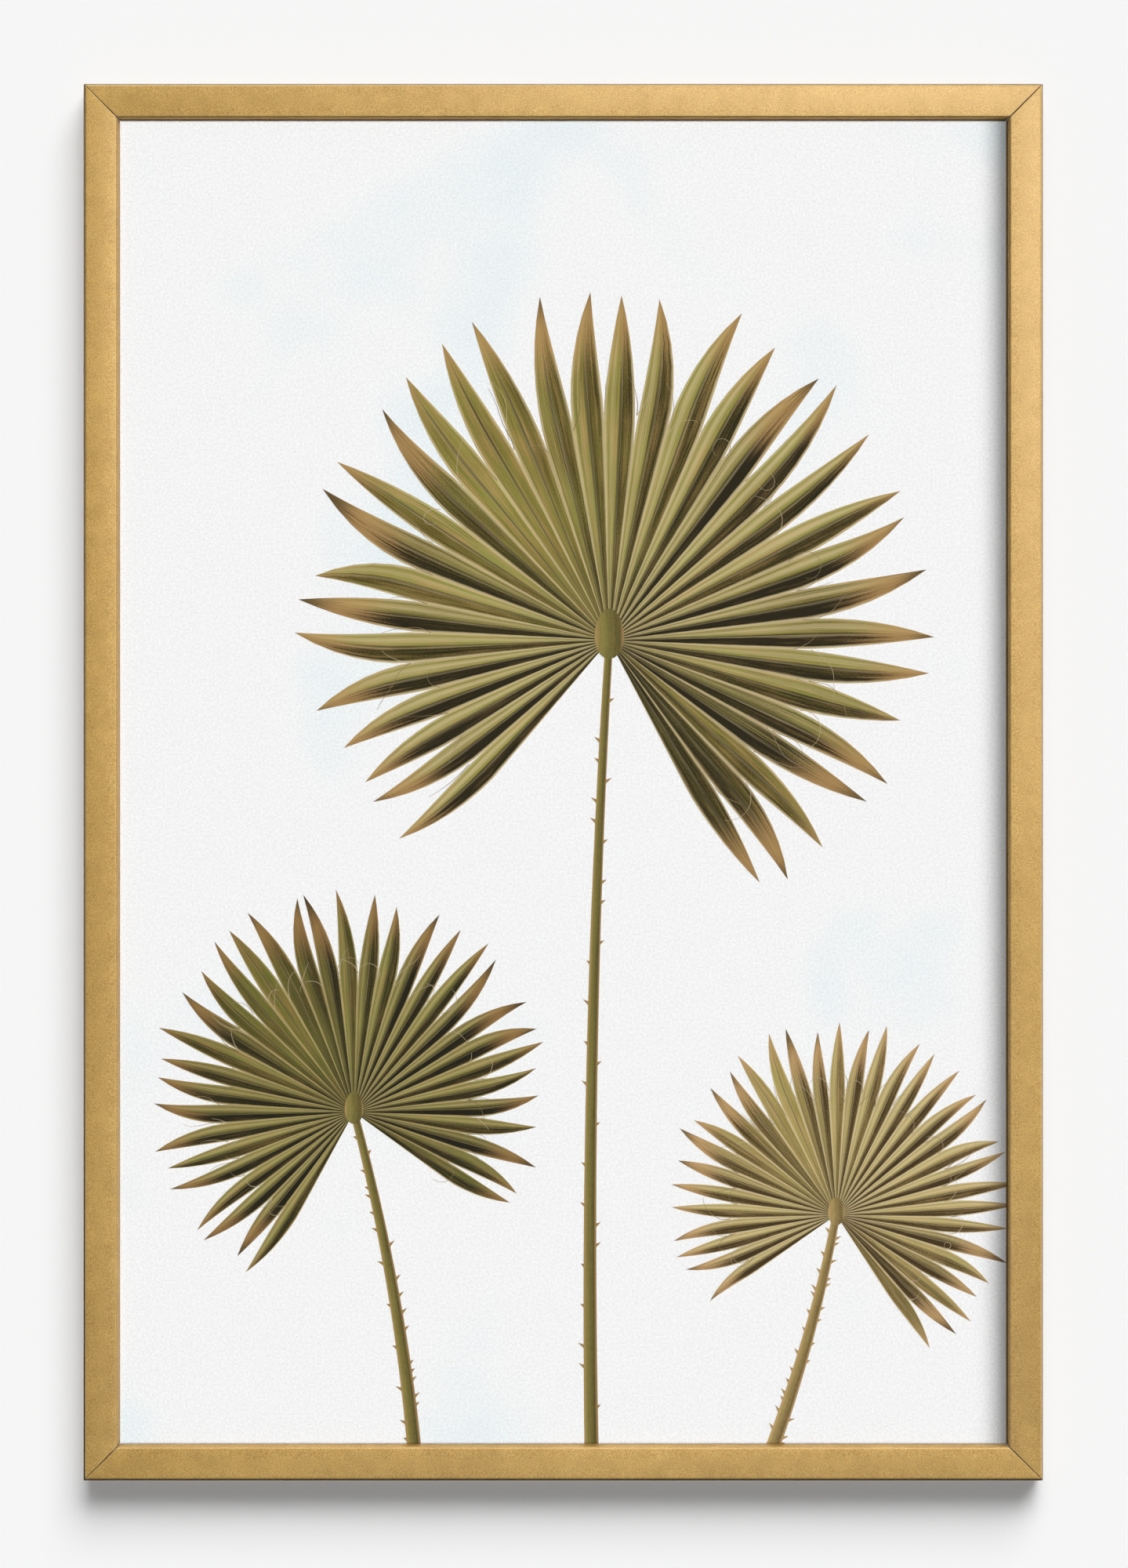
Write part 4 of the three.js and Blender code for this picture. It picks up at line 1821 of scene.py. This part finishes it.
@dataclass
class Studio:
    """A pale wall and floor, soft light from the upper right, and the camera square to the wall."""

    lens: float = 135.0
    sensor: float = 36.0
    height_share: float = 0.8912
    offset_x: float = 0.44 * MM
    offset_z: float = -1.0 * MM
    wall_half: float = 1.6
    wall_gap: float = 0.2 * MM
    floor_half: float = 3.0
    floor_drop: float = 0.6
    dome_radius: float = 14.0
    dome_segments: int = 48
    backdrop_glow: float = 0.8
    glow_axis: tuple[float, float, float] = (0.6, -0.25, 0.75)
    glow_low: float = 0.02
    glow_high: float = 0.84
    ambient: float = 0.05

    def __post_init__(self) -> None:
        """Finds the middle of the frame."""
        self.middle = (CAD_LOW + CAD_HIGH) / 2

    def _plane(self, name: str, half: float, place: Matrix, finish: Material) -> Object:
        """A square stage plane that faces along its own +Z and shows only to the camera.

        Args:
            name: Its name.
            half: Half its side.
            place: Where its middle lies and which way it faces.
            finish: Its material.

        Returns:
            The plane.
        """
        plan = MeshPlan()
        corners = ((-half, -half, 0), (half, -half, 0), (half, half, 0), (-half, half, 0))
        plan.face([plan.point(place @ Vector(c)) for c in corners])
        plane = plan.build(name, [finish])
        Sight.CAMERA_ONLY.limit(plane)
        return plane

    def _dome(self, name: str, radius: float, glow: Material, sight: Sight) -> None:
        """A sphere round the frame that glows inwards.

        Args:
            name: Its name.
            radius: Its radius.
            glow: Its material.
            sight: Which rays find it.
        """
        turns = [math.radians(a) for a in range(-90, 91, 6)]
        profile = [(abs(radius * math.cos(t)), radius * math.sin(t)) for t in turns]
        dome = turned_plan(profile, self.dome_segments).build(name, [glow])
        dome.location = self.middle
        sight.limit(dome)

    def _stage(self) -> Object:
        """The floor, the surroundings and the wall.

        Returns:
            The wall behind the frame.
        """
        self._plane(
            "floor",
            self.floor_half,
            Matrix.Translation((0, 0, CAD_LOW.z - self.floor_drop)),
            PalePaint("floor_paint", paint(236, 234, 230)).material(),
        )
        even_glow = Graph("even_glow").glow(WHITE, self.backdrop_glow)
        self._dome("backdrop", self.dome_radius, even_glow, Sight.CAMERA_ONLY)
        self._dome("reflections", self.dome_radius * 0.9, self._studio_glow(), Sight.GLOSS_ONLY)
        place = Matrix.Translation((self.middle.x, CAD_HIGH.y + self.wall_gap, self.middle.z))
        return self._plane(
            "wall",
            self.wall_half,
            place @ Matrix.Rotation(math.pi / 2, 4, "X"),
            PalePaint("wall_paint", paint(248, 248, 248), one_sided=True).material(),
        )

    def _studio_glow(self) -> Material:
        """A glow from above and the right that fades below, at the left and in front.

        Returns:
            Its material.
        """
        g = Graph("studio_glow")
        way = g.node("ShaderNodeVectorMath", {"operation": "NORMALIZE"}, {0: g.place()})
        sockets = {0: way, 1: tuple(Vector(self.glow_axis).normalized())}
        lean = g.node("ShaderNodeVectorMath", {"operation": "DOT_PRODUCT"}, sockets, output="Value")
        front = -g.node("ShaderNodeSeparateXYZ", sockets={0: way}, output="Y")
        strength = self.glow_low + (self.glow_high - self.glow_low) * lean.step(-0.6, 0.8)
        return g.glow(g.grey(strength * (1 - 0.9 * front.step(0.93, 0.985))))

    def _lights(self, wall: Object) -> None:
        """Suns for the wall and the print, soft boxes for the foil and for the back.

        Args:
            wall: The wall behind the frame.
        """
        pieces = [o for o in bpy.context.scene.objects if o.type == "MESH" and o != wall]
        ink = [o for o in pieces if o.name.startswith("palm_")]
        picture = [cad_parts["print_sheet"], *ink]
        rails = [o for o in pieces if o.name.startswith("moulding_")]
        others = [o for o in pieces if o not in picture and o not in rails]
        suns = {
            Sun("wall_fill", 0.235, right=0.0, up=0.047, spread=7): [wall],
            Sun("low_key", 0.22, right=0.0, up=0.72, spread=28): [wall],
            Sun("wall_key", 0.48, right=0.35, up=1.08, spread=38): [wall, *others],
            Sun("print_fill", 0.32, right=0.0, up=0.047, spread=7): picture,
            Sun("print_near", 0.22, right=0.62, up=0.0, spread=20): picture,
            Sun("print_middle", 0.33, right=1.15, up=0.0, spread=20): picture,
            Sun("print_far", 0.3, right=1.9, up=0.0, spread=16): picture,
            Sun("foil_rim", 0.11, right=0.5, up=2.2, spread=30): rails,
            Sun("foil_side", 0.05, right=2.2, up=0.3, spread=30): rails,
            Sun("foil_low", 0.03, right=0.2, up=-1.8, spread=30): rails,
            Sun("foil_key", 0.19, right=0.6, up=0.75, spread=40): rails,
        }
        for sun, receivers in suns.items():
            light_only(sun.build(self.middle), receivers)
        for foil_box in (
            SoftBox("foil_box", 11.5, size=0.9, offset=(0.45, -3.0, 0.7)),
            SoftBox("low_box", 2.4, size=0.9, offset=(0.1, -2.5, -0.5)),
            SoftBox("left_box", 12.0, size=2.2, offset=(-2.0, -2.0, -1.05)),
        ):
            lamp = foil_box.build(self.middle)
            lamp.visible_diffuse = False
            light_only(lamp, rails)
        SoftBox("back_box", 48.0, size=3.2, offset=(-1.1, 2.2, 1.1)).build(self.middle)
        SoftBox("back_fill", 26.0, size=3.2, offset=(1.6, 1.8, 0.2)).build(self.middle)

    def _world(self) -> None:
        """A little even light from all round."""
        world = bpy.data.worlds.new("studio")
        world.use_nodes = True
        background = world.node_tree.nodes["Background"]
        background.inputs["Color"].default_value = WHITE
        background.inputs["Strength"].default_value = self.ambient
        bpy.context.scene.world = world

    def _camera(self) -> None:
        """A long lens square to the print."""
        camera = bpy.data.objects.new("camera", bpy.data.cameras.new("camera"))
        camera.data.lens = self.lens
        camera.data.sensor_width = self.sensor
        distance = (CAD_HIGH.z - CAD_LOW.z) / self.height_share * self.lens / self.sensor
        camera.location = (
            self.middle.x + self.offset_x,
            CAD_LOW.y - distance,
            self.middle.z + self.offset_z,
        )
        camera.rotation_euler = (math.pi / 2, 0, 0)
        bpy.context.scene.collection.objects.link(camera)
        bpy.context.scene.camera = camera

    def build(self) -> None:
        """Sets the stage, the lights and the camera."""
        bpy.context.scene.view_settings.view_transform = "Standard"
        bpy.context.scene.cycles.caustics_reflective = False
        wall = self._stage()
        self._lights(wall)
        self._world()
        self._camera()


def main() -> None:
    """Builds the framed print piece by piece."""
    logging.basicConfig(level=logging.INFO, format="%(name)s %(message)s")
    Moulding(GoldFoil().material(), RawPine().material()).build()
    PictureStack().build()
    threads = ThreadInk().material()
    for palm in palms():
        palm.build(threads)
    Fixings(ZincSteel().material()).build()
    Bumpers(DUSTY_RUBBER.material()).build()
    Studio().build()


if __name__ == "__main__":
    main()
